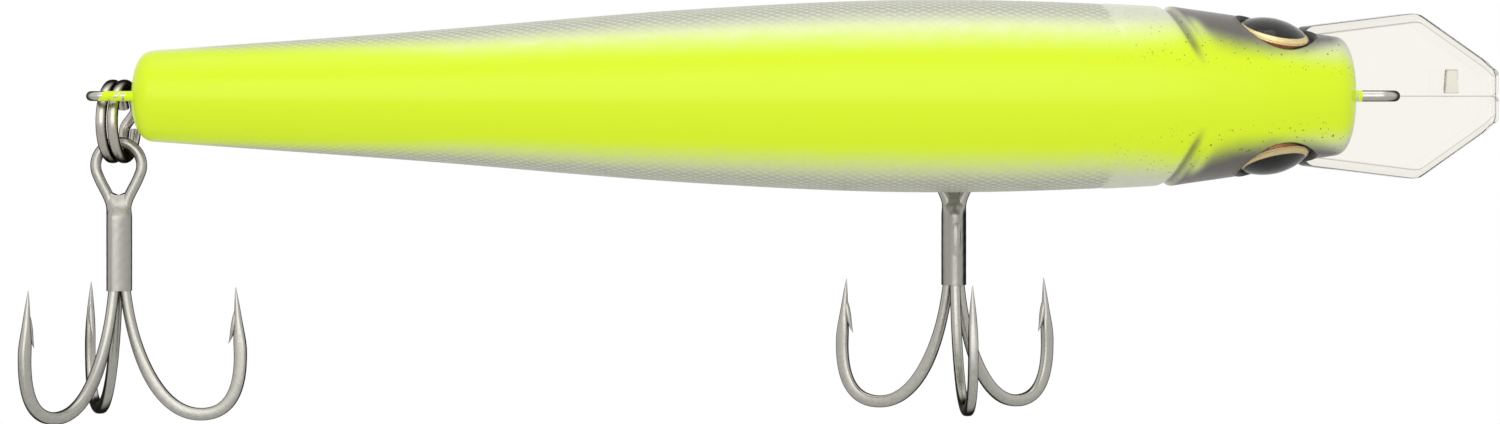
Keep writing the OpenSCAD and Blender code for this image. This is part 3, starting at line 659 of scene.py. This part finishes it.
def rounded(corners, radius, steps=5):
    """Polygon whose corners are short curves: at each a quadratic curve from one side to the other."""
    before, after = np.roll(corners, 1, axis=0) - corners, np.roll(corners, -1, axis=0) - corners
    shorter = np.minimum(np.linalg.norm(before, axis=1), np.linalg.norm(after, axis=1))
    cut = np.minimum(shorter * 0.4, radius)[:, None]
    start, end = corners + unit(before) * cut, corners + unit(after) * cut
    t = np.linspace(0, 1, steps)[:, None, None]
    return ((1 - t) ** 2 * start + 2 * t * (1 - t) * corners + t**2 * end).transpose(1, 0, 2).reshape(-1, 2)


def plate_points(corners, fixed, levels, radius):
    """Loops of a moulded plate: at each (height, inset, seam inset) the outline moved in, where the
    seam's edges have an inset of their own. Returns the loops as one array of points."""
    loops = []
    for height, inset, seam_inset in levels:
        loop = rounded(moved_in(corners, np.where(fixed, seam_inset, inset)), radius)
        loops.append(np.column_stack([loop, np.full(len(loop), height)]))
    return np.array(loops)


def plate_faces(loops, columns):
    """Walls between the loops, with the first and last loop as end faces. The loops go up."""
    ends = np.arange(columns)
    walls = grid_faces(loops, columns, closed=True)
    return [walls, ends[None, ::-1], (loops - 1) * columns + ends[None, :]]


half, tip = LIP_WIDTH / 2, LIP_TIP / 2
lip_corners = np.array([
    [-ROOT_BACK, SEAM_GAP], [LIP_LENGTH, SEAM_GAP], [LIP_LENGTH, tip], [LIP_LENGTH - 0.8, tip + 0.4],
    [LIP_LENGTH - 1.4, tip + 0.9], [8.3, half - 0.1], [7.3, half], [6.4, half - 0.1],
    [-5, half - 1.3], [-ROOT_BACK, half - 3.2],
])
seam_edge = np.arange(len(lip_corners)) == 0
plate_levels = [(-0.9, 0.07, 0), (-0.87, 0.02, 0), (-0.82, 0, 0), (0.5, 0, 0), (0.6, 0.04, 0),
                (0.62, 0.12, 0), (0.78, 0.73, 0), (0.86, 0.79, 0), (0.9, 0.92, 0.06)]
# Painted shade: how strongly each loop's edge takes the dark colour, the dark lines along the lip's clear
# edges.
level_edge_shade = np.array([0, 0.5, 1, 1, 0.8, 0.12, 0.1, 0.9, 0])
lip_loops = plate_points(lip_corners, seam_edge, plate_levels, 0.5)
pad_corners = np.array([[10.7, 0.25], [12.4, 0.25], [12.3, 2.45], [10.9, 2.45]])
pad_levels = [(0.85, 0, 0), (1.08, 0, 0), (1.13, 0.05, 0), (1.15, 0.12, 0)]
pad_loops = plate_points(pad_corners, np.zeros(4, bool), pad_levels, 0.15)
lean = np.radians(LIP_ANGLE)
lip_axes = np.array([[np.cos(lean), np.sin(lean), 0], [0, 0, 1], [np.sin(lean), -np.cos(lean), 0]])


def on_lip(points):
    """From the lip's own length, width and height to the lure's frame."""
    return points.reshape(-1, 3) @ lip_axes + [nose_x, LIP_DROP, 0]


def joined(shapes):
    """Several shapes, each points and faces, as one."""
    first = np.cumsum([0] + [len(p) for p, _ in shapes])
    return (np.concatenate([p for p, _ in shapes]),
            [f + start for start, (_, faces) in zip(first, shapes) for f in faces])


lip_shapes = [(on_lip(loops), plate_faces(*loops.shape[:2])) for loops in (lip_loops, pad_loops)]
lip_edge_shades = [np.repeat(level_edge_shade, lip_loops.shape[1]), np.repeat([0.1, 0.8, 0.5, 0.0], pad_loops.shape[1])]
for side, name in ((1, "left"), (-1, "right")):
    lip_points, lip_faces = joined(lip_shapes if side > 0 else lip_shapes[:1])
    make_piece(f"{name}_lip_half", lip_points * [1, 1, side],
               lip_faces if side > 0 else [f[:, ::-1] for f in lip_faces],
               "lure_body", LIP_PLASTIC, [f"{name}_half_shell"],
               {"rim": np.concatenate(lip_edge_shades if side > 0 else lip_edge_shades[:1])}, sharp=12)

# %% [markdown]
# ## Wire, bent and forged
# Rings, hangers and hooks are all wire. A wire is a cross-section carried along a path. The section
# is |x / a|^n + |y / b|^n = 1: n = 2 is round, and a larger n gives the flat sides of a forged hook.

# %% Path and section
def smooth_line(points, step):
    """Curve through rough points, at even steps. Its slope at each point is that of the parabola
    through the point and its neighbours. Columns past the third are carried along."""
    chord = np.linalg.norm(np.diff(points[:, :3], axis=0), axis=1)
    at = np.concatenate([[0], np.cumsum(chord)])
    where = np.linspace(0, at[-1], int(at[-1] / step) + 2)
    return cubic(at, points, np.gradient(points, at, axis=0), where)


def arc(centre, radius, start, stop, count=9):
    """Points of an arc in a plane, between two angles in degrees."""
    turn = np.radians(np.linspace(start, stop, count))
    return np.array(centre) + radius * np.stack([np.cos(turn), np.sin(turn)], axis=-1)


def wire(path, flat_side, wide, thick, power, sides=20):
    """Points and faces of a wire. flat_side is square to the plane in which the path bends. wide is
    the half width in that plane, thick the half width across it. A pole closes each end."""
    ahead = unit(np.gradient(path, axis=0))
    across = unit(np.cross(ahead, flat_side))
    over = np.cross(ahead, across)
    turn = np.linspace(0, 2 * np.pi, sides, endpoint=False)
    c, s = np.cos(turn)[None], np.sin(turn)[None]
    wide, thick, power = (np.broadcast_to(v, len(path))[:, None] for v in (wide, thick, power))
    x = wide * np.sign(c) * abs(c) ** (2 / power)
    y = thick * np.sign(s) * abs(s) ** (2 / power)
    rings = path[:, None] + x[..., None] * across[:, None] + y[..., None] * over[:, None]
    count, k = len(path) * sides, np.arange(sides)
    after, last = (k + 1) % sides, (len(path) - 1) * sides
    faces = [grid_faces(len(path), sides, closed=True),
             np.stack([np.full(sides, count), after, k], axis=-1),
             np.stack([last + k, last + after, np.full(sides, count + 1)], axis=-1)]
    return np.concatenate([rings.reshape(-1, 3), path[:1], path[-1:]]), faces


# %% [markdown]
# The line tie and the two hangers are hairpins whose ends turn outwards inside the body, so that
# they can't pull out.

# %% Line tie and hangers
def hairpin(spacing, corner, reach, foot, bend=0.5):
    """Hairpin in a plane, from one foot to the other. Its far strand is at 0, its legs are at plus
    and minus spacing, and its feet are at -reach."""
    near = -reach + bend
    one = np.concatenate([
        [[-reach, spacing + foot]], arc((near, spacing + bend), bend, 180, 270),
        arc((-corner, spacing - corner), corner, 90, 0, 13),
    ])
    return np.concatenate([one, one[::-1] * [1, -1]])


def place_hairpin(flat_path, origin, outwards, sideways):
    """The hairpin in the lure's frame, at even steps."""
    rough = np.array(origin) + flat_path[:, :1] * outwards + flat_path[:, 1:] * sideways
    keep = np.concatenate([[True], np.linalg.norm(np.diff(rough, axis=0), axis=1) > 1e-6])
    rough = rough[keep]
    chord = np.linalg.norm(np.diff(rough, axis=0), axis=1)
    at = np.concatenate([[0], np.cumsum(chord)])
    where = np.linspace(0, at[-1], int(at[-1] / 0.12))
    return np.stack([np.interp(where, at, rough[:, k]) for k in range(3)], axis=-1)


TIE_WIRE, TIE_EYE, HANGER_WIRE, HANGER_EYE, HANGER_CORNER = 1.0, 2.0, 0.9, 3.5, 1.2
tie_low, tie_high = box_mm("line_tie_wire")
belly_low, belly_high = box_mm("belly_hook_hanger")
rear_low, rear_high = box_mm("tail_hook_hanger")
ahead_x, down_y = np.array([1.0, 0, 0]), np.array([0, 1.0, 0])
tie_r = (TIE_EYE + TIE_WIRE) / 2
leg_y = (HANGER_EYE + HANGER_WIRE) / 2
tie_foot = tie_high[1] - tie_r
belly_x = (belly_low[0] + belly_high[0]) / 2
hanger_foot = rear_high[1] - leg_y
hairpins = {
    "line_tie_wire": (place_hairpin(
        hairpin(tie_r, tie_r, tie_high[0] - tie_low[0] - TIE_WIRE, tie_foot),
        [tie_high[0] - TIE_WIRE / 2, 0, 0], ahead_x, down_y), TIE_WIRE, TIE_STEEL, "tie_wire"),
    "tail_hook_hanger": (place_hairpin(
        hairpin(leg_y, HANGER_CORNER, rear_high[0] - rear_low[0] - HANGER_WIRE, hanger_foot),
        [rear_low[0] + HANGER_WIRE / 2, 0, 0], -ahead_x, down_y), HANGER_WIRE, HANGER_STEEL, "hanger_wire"),
    "belly_hook_hanger": (place_hairpin(
        hairpin(leg_y, HANGER_CORNER, belly_high[1] - belly_low[1] - HANGER_WIRE, hanger_foot),
        [belly_x, belly_high[1] - HANGER_WIRE / 2, 0], down_y, -ahead_x),
        HANGER_WIRE, HANGER_STEEL, "hanger_wire"),
}
for name, (path, size, metal, slot_name) in hairpins.items():
    points, faces = wire(path, np.array([0, 0, 1.0]), size / 2, size / 2, 2.0, 24)
    if name == "line_tie_wire":
        spray = 1.2 - 1.2 * rise(points[:, 0], nose_x + 0.05, nose_x + 0.75)
    elif name == "tail_hook_hanger":
        spray = (0.56 * rise(-points[:, 1], 0.6, 2.3) + 0.06) * rise(points[:, 0] - rear_low[0], 0.7, 1.6)
    else:
        spray = 0.2 * np.ones(len(points))
    make_piece(f"{name}_bent", points, faces, "lure_body", metal, [name], {"sprayed": spray})

# %% [markdown]
# A split ring is one wire wound twice round. For most of the turn the two coils lie side by side,
# and in one short stretch the wire steps over from one coil to the other.

# %% Split rings
RING_DIAMETER, RING_WIRE, COIL_GAP = 7.6, 0.94, 0.14
STEP_ANGLE, STEP_PLACE, SIDE_ROOM = 34.0, 20.0, 0.21
hinges = {j["name"]: np.array(j["pos_m"]) / MM for j in frame["joints"] if "pos_m" in j}
pitch = RING_WIRE + COIL_GAP
ring_r = (RING_DIAMETER - RING_WIRE) / 2
ring_drop = ring_r - RING_WIRE / 2 - HANGER_WIRE / 2 - 0.12
ring_yaw = np.arcsin((HANGER_EYE / 2 - SIDE_ROOM - (pitch + RING_WIRE) / 2)
                     / np.sqrt(RING_DIAMETER**2 / 4 - ring_drop**2))


def split_ring():
    """Path of the ring's wire about X, and the direction square to it, along X."""
    turned = np.linspace(0, 720 - STEP_ANGLE, 230)
    s = np.clip((turned - 360 + STEP_ANGLE) / STEP_ANGLE, 0, 1)
    a = np.radians(STEP_PLACE + turned)
    return np.stack([(s * s * (3 - 2 * s) - 0.5) * pitch, ring_r * np.cos(a), ring_r * np.sin(a)], axis=-1)


def turned_about_z(points, angle):
    """Points turned about Z by an angle in radians."""
    c, s = np.cos(angle), np.sin(angle)
    return points @ np.array([[c, s, 0], [-s, c, 0], [0, 0, 1]])


for which, yaw in (("front", ring_yaw), ("rear", -ring_yaw)):
    path = turned_about_z(split_ring(), yaw) + hinges[f"{which}_ring_swing"] - [0, 0, ring_drop]
    flat_side = turned_about_z(np.array([[1.0, 0, 0]]), yaw)
    points, faces = wire(path, flat_side, RING_WIRE / 2, RING_WIRE / 2, 2.5, 20)
    make_piece(f"{which}_split_ring_coils", points, faces, f"{which}_ring", RING_STEEL,
               [f"{which}_split_ring"])

# %% [markdown]
# ## The treble hooks
# A treble is two hooks and an eye bent from one wire, with a third hook brazed in between. Each
# hook leaves the shank, runs round a wide bend and ends in a long tapered point with a barb cut
# out of its inner side. The bends are forged, so their sides are flatter than the wire.

# %% Hook curves
HOOK_WIRE, HOOK_EYE, HOOK_DROP, HOOK_GAPE, POINT_LENGTH = 1.0, 3.16, 22.8, 11.4, 5.4
BUNDLE_R, NECK_Z, BUNDLE_TOP_Z, BRAZE_END_Z, BEND_R, EYE_ARC = 0.62, -4.4, -5.5, -11.7, 7.6, 118.0
EYE_BELOW_HINGE = 0.3564
POINT_BASE_Z = -HOOK_DROP + 6.1


def polar(r, azimuth, z):
    """Point at distance r from the shank's axis: azimuth 0 is +X and 90 is -Y."""
    a = np.radians(azimuth)
    return np.stack(np.broadcast_arrays(r * np.cos(a), -r * np.sin(a), z), axis=-1)


def bezier(points, t):
    """Cubic Bezier curve."""
    p, t = np.array(points, float), np.asarray(t)[:, None]
    return (1 - t) ** 3 * p[0] + 3 * (1 - t) ** 2 * t * p[1] + 3 * (1 - t) * t**2 * p[2] + t**3 * p[3]


def rows_of(positions, azimuth, wide, thick, power):
    """Path rows: position, direction square to the hook's plane, half widths and section power."""
    a = np.radians(np.broadcast_to(azimuth, len(positions)))
    square = [np.sin(a), np.cos(a), 0 * a]
    shape = [np.broadcast_to(value, len(positions)) for value in (wide, thick, power)]
    return np.column_stack([positions, *square, *shape])


def hook_branch(azimuth):
    """Path rows of one hook from below the braze, round the bend, to its point."""
    down = bezier([[BUNDLE_R, BRAZE_END_Z], [1.3, -17.2], [3.6, -HOOK_DROP], [BEND_R, -HOOK_DROP]],
                  np.arange(1, 13) / 12)
    up = bezier([[BEND_R, -HOOK_DROP], [HOOK_GAPE - 1.1, -HOOK_DROP], [HOOK_GAPE + 0.1, -HOOK_DROP + 2.1],
                 [HOOK_GAPE - 0.1, POINT_BASE_Z]], np.arange(1, 11) / 10)
    share = np.arange(1, 13) / 12
    spike = np.column_stack([HOOK_GAPE - 0.1 - 0.42 * share, POINT_BASE_Z + POINT_LENGTH * share])
    line = np.concatenate([down, up, spike])
    forged = np.concatenate([rise(np.arange(1, 13) / 12, 0.15, 0.6), np.ones(10), 1 - rise(share, 0, 0.5)])
    taper = np.concatenate([np.ones(22), 0.06 + 0.94 * (1 - share**1.6)])
    r = HOOK_WIRE / 2 * taper
    return rows_of(polar(line[:, 0], azimuth, line[:, 1]), azimuth,
                   r * (1 + 0.14 * forged), r * (1 - 0.10 * forged), 2 + 1.5 * forged)


def leg(start, stop):
    """Path rows from the neck of the eye to the end of the braze, turning round the shank's axis."""
    s = np.arange(6) / 5
    azimuth = start + (stop - start) * (s * s * (3 - 2 * s))
    azimuth = np.append(azimuth, stop)
    z = np.append(NECK_Z + (BUNDLE_TOP_Z - NECK_Z) * s, BRAZE_END_Z)
    return rows_of(polar(BUNDLE_R, azimuth, z), azimuth, HOOK_WIRE / 2, HOOK_WIRE / 2, 2.0)


def eye_loop():
    """Path rows of the eye, an arc of a circle in the plane of X and Z."""
    a = np.radians(np.linspace(EYE_ARC, -EYE_ARC, 17))
    r = (HOOK_EYE + HOOK_WIRE) / 2
    positions = np.stack([r * np.sin(a), 0 * a, -EYE_BELOW_HINGE + r * np.cos(a)], axis=-1)
    return rows_of(positions, 0.0, HOOK_WIRE / 2, HOOK_WIRE / 2, 2.0)


def turned_over(rows):
    """The same rows with the direction square to the plane reversed, which keeps it steady where
    the wire passes through the eye."""
    return rows * np.where(np.isin(np.arange(9), (3, 4, 5)), -1, 1)


def hook_wire(rows):
    """Wire along smoothed path rows."""
    fine = smooth_line(rows, 0.16)
    return wire(fine[:, :3], fine[:, 3:6], fine[:, 6], fine[:, 7], fine[:, 8], 20)


def barb(azimuth):
    """A thorn cut out of the point's inner side: a flat wire that tapers to nothing."""
    share = np.linspace(0, 1, 18)
    line = bezier([[HOOK_GAPE - 0.45, POINT_BASE_Z + 3.6], [HOOK_GAPE - 0.6, POINT_BASE_Z + 2.5],
                   [HOOK_GAPE - 0.72, POINT_BASE_Z + 1.3], [HOOK_GAPE - 1.2, POINT_BASE_Z + 0.3]], share)
    swell = np.sin(np.pi * share**0.8)
    places = polar(line[:, 0], azimuth, line[:, 1])
    rows = rows_of(places, azimuth, 0.02 + 0.24 * swell, 0.02 + 0.26 * swell, 2.4)
    return wire(rows[:, :3], rows[:, 3:6], rows[:, 6], rows[:, 7], rows[:, 8], 12)


# %% [markdown]
# The braze fills the furrows between the three shanks and ends in a sharp cuff. Seen from above,
# its section is an oval across the neck and turns into a soft three-lobed one further down.

# %% Braze
def braze(azimuths):
    """Sleeve from the foot of the eye to the end of the braze. Its radius is an oval's at the neck
    and r0 + r1 cos(3 a) below, where a is counted from a shank."""
    sides, rows = 60, 60
    top, end = -3.05, BRAZE_END_Z
    z = top + (end - top) * np.linspace(0, 1, rows) ** 1.15
    turn = np.radians(np.linspace(0, 360, sides, endpoint=False))[None, :]
    level = z[:, None]
    wide = np.interp(z, [-12, -5.2, -4.4, -3.6, -3.05], [1.14, 1.14, 1.14, 1.2, 1.1])[:, None]
    deep = np.interp(z, [-12, -5.2, -4.4, -3.6, -3.05], [0.98, 0.92, 0.72, 0.5, 0.3])[:, None]
    oval = wide * deep / np.hypot(deep * np.cos(turn), wide * np.sin(turn))
    three = 1.14 + 0.09 * np.cos(3 * (turn - np.radians(azimuths[0])))
    share = 1 - rise(level, -5.2, -4.0)
    lumps = 0.006 * np.sin(5 * turn + 3.1 * level) * np.sin(2.3 * level + turn)
    r = oval * (1 - share) + three * share + lumps * (1 - rise(level, -3.5, -3.1))
    saddle = 0.4 * (r * np.cos(turn)) ** 2 * rise(level, -4.6, -3.05)
    points = polar(r, np.degrees(turn), level + saddle)
    k = np.arange(sides)
    after, last, count = (k + 1) % sides, (rows - 1) * sides, rows * sides
    faces = [grid_faces(rows, sides, closed=True), np.stack([np.full(sides, count), after, k], axis=-1),
             np.stack([last + k, last + after, np.full(sides, count + 1)], axis=-1)]
    poles = np.array([[0, 0, top + 0.02], [0, 0, end + 0.15]])
    return np.concatenate([points.reshape(-1, 3), poles]), faces


# %% Both trebles
AZIMUTHS = {"front": (-36.0, 204.0, 84.0), "rear": (8.0, 128.0, 248.0)}
for which, (one, other, third) in AZIMUTHS.items():
    hinge, mover = hinges[f"{which}_treble_swing"], f"{which}_treble"
    double_rows = np.concatenate([hook_branch(one)[::-1], leg(0, one)[::-1], eye_loop(),
                                  turned_over(leg(180, other)), turned_over(hook_branch(other))])
    hidden = rows_of(polar(np.array([0.2]), third, -4.5), third, HOOK_WIRE / 2, HOOK_WIRE / 2, 2.0)
    third_rows = np.concatenate([hidden, leg(third, third)[-2:], hook_branch(third)])
    shapes = {
        "double_hook": [hook_wire(double_rows), barb(one), barb(other)],
        "third_hook": [hook_wire(third_rows), barb(third)],
    }
    for kind, parts in shapes.items():
        points, faces = joined(parts)
        make_piece(f"{which}_treble_{kind}_forged", points + hinge, faces, mover, HOOK_STEEL,
                   [f"{which}_treble_{kind}"])
    points, faces = braze((one, other, third))
    make_piece(f"{which}_treble_braze_sleeve", points + hinge, faces, mover, BRAZE_METAL,
               [f"{which}_treble_braze"])

# %% [markdown]
# ## The eyes
# An eye is a gold foil with a large black pupil, pressed into a clear domed lens. Both are turned
# shapes: a profile carried round the eye's axis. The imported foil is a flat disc. Here it is domed
# just under the lens, because at a slanting look the lens would hide the gold of a flat one. The
# pupil lies off the centre, so that a crescent of gold shows towards the back.

# %% Foil and lens
def turned(profile, sides=96):
    """Profile of (radius, height) points, from the axis to the axis, carried round."""
    turn = np.linspace(0, 2 * np.pi, sides, endpoint=False)
    r, h = profile[1:-1, 0][:, None], profile[1:-1, 1][:, None]
    rings = np.stack(np.broadcast_arrays(r * np.cos(turn), r * np.sin(turn), h), axis=-1)
    rows, k = len(r), np.arange(sides)
    after, last, count = (k + 1) % sides, (rows - 1) * sides, rows * sides
    faces = [grid_faces(rows, sides, closed=True), np.stack([np.full(sides, count), after, k], axis=-1),
             np.stack([last + k, last + after, np.full(sides, count + 1)], axis=-1)]
    poles = np.array([[0, 0, profile[0, 1]], [0, 0, profile[-1, 1]]])
    return np.concatenate([rings.reshape(-1, 3), poles]), faces


FOIL_THICKNESS, LENS_EDGE, LENS_DOME, PUPIL_R = 0.2, 0.55, 0.95, 2.75
PUPIL_SHIFT = np.array([-0.12, 0.38])
FOIL_UNDER = 0.3
foil_rim = [LENS_R - 0.04, LENS_R - 0.04, LENS_R - 0.08, 0]
foil_r = np.concatenate([np.linspace(0, LENS_R - 0.1, 24), foil_rim])
foil_top = FOIL_THICKNESS + LENS_EDGE - FOIL_UNDER
foil_h = np.concatenate([foil_top + LENS_DOME * (1 - (foil_r[:24] / LENS_R) ** 2),
                         [foil_top, 0.04, 0, 0]])
foil_profile = np.column_stack([foil_r, foil_h])[::-1]
dome_r = (LENS_R**2 + LENS_DOME**2) / (2 * LENS_DOME)
dome_turn = np.linspace(np.arcsin(LENS_R / dome_r) - 0.02, 0, 28)
lens_base = FOIL_THICKNESS - 0.02
lens_r = np.concatenate([[0, LENS_R - 0.05, LENS_R, LENS_R, LENS_R - 0.02], dome_r * np.sin(dome_turn)])
lens_h = lens_base + np.concatenate([
    [0, 0, 0.05, LENS_EDGE - 0.04, LENS_EDGE],
    LENS_EDGE + LENS_DOME - dome_r + dome_r * np.cos(dome_turn),
])
lens_profile = np.column_stack([lens_r, lens_h])


def eye_foil():
    """Gold foil with fine rays, a black pupil and a thin dark rim."""
    made, tree, shader = new_material("eye_foil")
    place = object_place(tree)
    r = mark(tree, "radius")
    rays = add_node(tree, "TexNoise", {"Vector": place}, {"Scale": 2600.0, "Detail": 3.0}).outputs["Fac"]
    gold = mix(tree, between(tree, rays, 0.3, 0.7), (0.98, 0.74, 0.35), (1.0, 0.84, 0.46))
    gold = mix(tree, between(tree, r, LENS_R - 0.16, LENS_R - 0.06), gold, (0.30, 0.10, 0.03))
    inside = between(tree, mark(tree, "pupil"), PUPIL_R - 0.03, PUPIL_R + 0.03)
    connect(tree, shader.inputs["Base Color"], mix(tree, inside, (0.012, 0.012, 0.008), gold))
    connect(tree, shader.inputs["Metallic"], inside)
    connect(tree, shader.inputs["Specular IOR Level"], sums(tree, "MULTIPLY", inside, 0.5))
    connect(tree, shader.inputs["Roughness"], between(tree, rays, 0.3, 0.7, 0.25, 0.4))
    return made


FOIL = eye_foil()
LENS = clear_plastic("eye_lens", (0.94, 0.93, 0.88), 0.02, 1.36)
seat = -SEAT_DEPTH
for side, name in ((1, "left"), (-1, "right")):
    for kind, profile, material in (("foil", foil_profile, FOIL), ("lens", lens_profile, LENS)):
        points, faces = turned(profile)
        radius = np.hypot(points[:, 0], points[:, 1])
        pupil = np.linalg.norm(points[:, :2] - PUPIL_SHIFT, axis=1)
        placed = (points + [0, 0, seat]) @ eye_axes + eye_centre
        make_piece(f"{name}_eye_{kind}_turned", placed * [1, 1, side],
                   faces if side > 0 else [f[:, ::-1] for f in faces],
                   "lure_body", material, [f"{name}_eye_{kind}"],
                   {"radius": radius, "pupil": pupil})

# %% [markdown]
# ## Inside the body
# The weight tube, its two balls, the rattle ball and the ballast are plain turned parts, so their
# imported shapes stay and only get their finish.

# %% Inner parts
INSIDE = {"weight_tube": TUBE_PLASTIC, "front_ballast": BALLAST_METAL, "front_transfer_ball": BALL_STEEL,
          "rear_transfer_ball": BALL_STEEL, "rattle_ball": BALL_STEEL}
for name, material in INSIDE.items():
    frame["nodes"][name].data.materials.clear()
    frame["nodes"][name].data.materials.append(material)
print("inner parts", len(INSIDE))

# %% [markdown]
# ## Studio
# The lure hangs in front of a white background. A pale floor lies below it, a large soft lamp
# hangs above, and a weaker one stands behind the camera.

# %% Floor, lamps and world
def floor_material():
    """Pale matt paper, a little mottled."""
    made, tree, shader = new_material("pale_floor", Roughness=0.9, Specular_IOR_Level=0.2)
    place = object_place(tree)
    tone = place_group(tree, MOTTLE, Colour=(0.9, 0.9, 0.9), Scale=60.0, Amount=0.03, Place=place)
    connect(tree, shader.inputs["Base Color"], tone.outputs["Colour"])
    return made


FLOOR_Z = -0.062
FLOOR_X, FLOOR_Y = (-0.75, 0.65), (-0.6, 0.36)
floor_mesh = bpy.data.meshes.new("floor")
floor_mesh.from_pydata([(x, y, FLOOR_Z) for y in FLOOR_Y for x in FLOOR_X], [], [(0, 1, 3, 2)])
floor_mesh.materials.append(floor_material())
floor_piece = bpy.data.objects.new("floor", floor_mesh)
bpy.context.scene.collection.objects.link(floor_piece)
floor_piece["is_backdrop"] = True


def soft_lamp(name, place, aim, size, power):
    """A square area lamp at place, in metres, facing aim."""
    data = bpy.data.lights.new(name, "AREA")
    data.shape, data.size, data.energy = "SQUARE", size, power
    lamp = bpy.data.objects.new(name, data)
    lamp.location = place
    ahead = np.array(aim) - np.array(place)
    lamp.rotation_mode = "QUATERNION"
    lamp.rotation_quaternion = Vector(ahead).to_track_quat("-Z", "Y")
    bpy.context.scene.collection.objects.link(lamp)
    return lamp


MIDDLE = (-0.0565, 0.0, -0.005)
soft_lamp("overhead_lamp", (-0.05, -0.10, 0.55), MIDDLE, 0.45, 0.75)
soft_lamp("front_lamp", (-0.10, -0.85, 0.08), MIDDLE, 0.98, 3.9)

world = bpy.data.worlds.new("studio")
world.use_nodes = True
bpy.context.scene.world = world
net = world.node_tree
rays = add_node(net, "LightPath")
seen = sums(net, "MAXIMUM", rays.outputs["Is Camera Ray"], rays.outputs["Is Glossy Ray"])
clean = sums(net, "MAXIMUM", seen, rays.outputs["Is Transmission Ray"])
connect(net, net.nodes["Background"].inputs["Strength"], between(net, clean, 0.0, 1.0, 0.55, 1.0))
connect(net, net.nodes["Background"].inputs["Color"], (1.0, 1.0, 1.0))

# %% [markdown]
# The camera looks straight at the lure's back, from 375 mm away. It is level, and the view is
# shifted down, so that the trebles hang below the middle.

# %% Camera
EYE_DISTANCE, FRAME_CENTRE_X, VIEW_SHIFT = 0.375, -0.0565, -0.0773
camera_data = bpy.data.cameras.new("camera")
camera_data.sensor_width, camera_data.lens = 36.0, 100.0
camera_data.shift_y = VIEW_SHIFT
camera_data.clip_start, camera_data.clip_end = 0.01, 10.0
camera = bpy.data.objects.new("camera", camera_data)
camera.location = (FRAME_CENTRE_X, -EYE_DISTANCE, 0.0)
camera.rotation_euler = (np.pi / 2, 0.0, 0.0)
bpy.context.scene.collection.objects.link(camera)
bpy.context.scene.camera = camera
bpy.context.scene.view_settings.view_transform = "Standard"

# %% Sizes and finish
low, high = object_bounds()
below, above = (np.array(cad_low) - low) / MM, (np.array(high) - cad_high) / MM
print("past the packed box, mm", np.round(below, 2), np.round(above, 2))
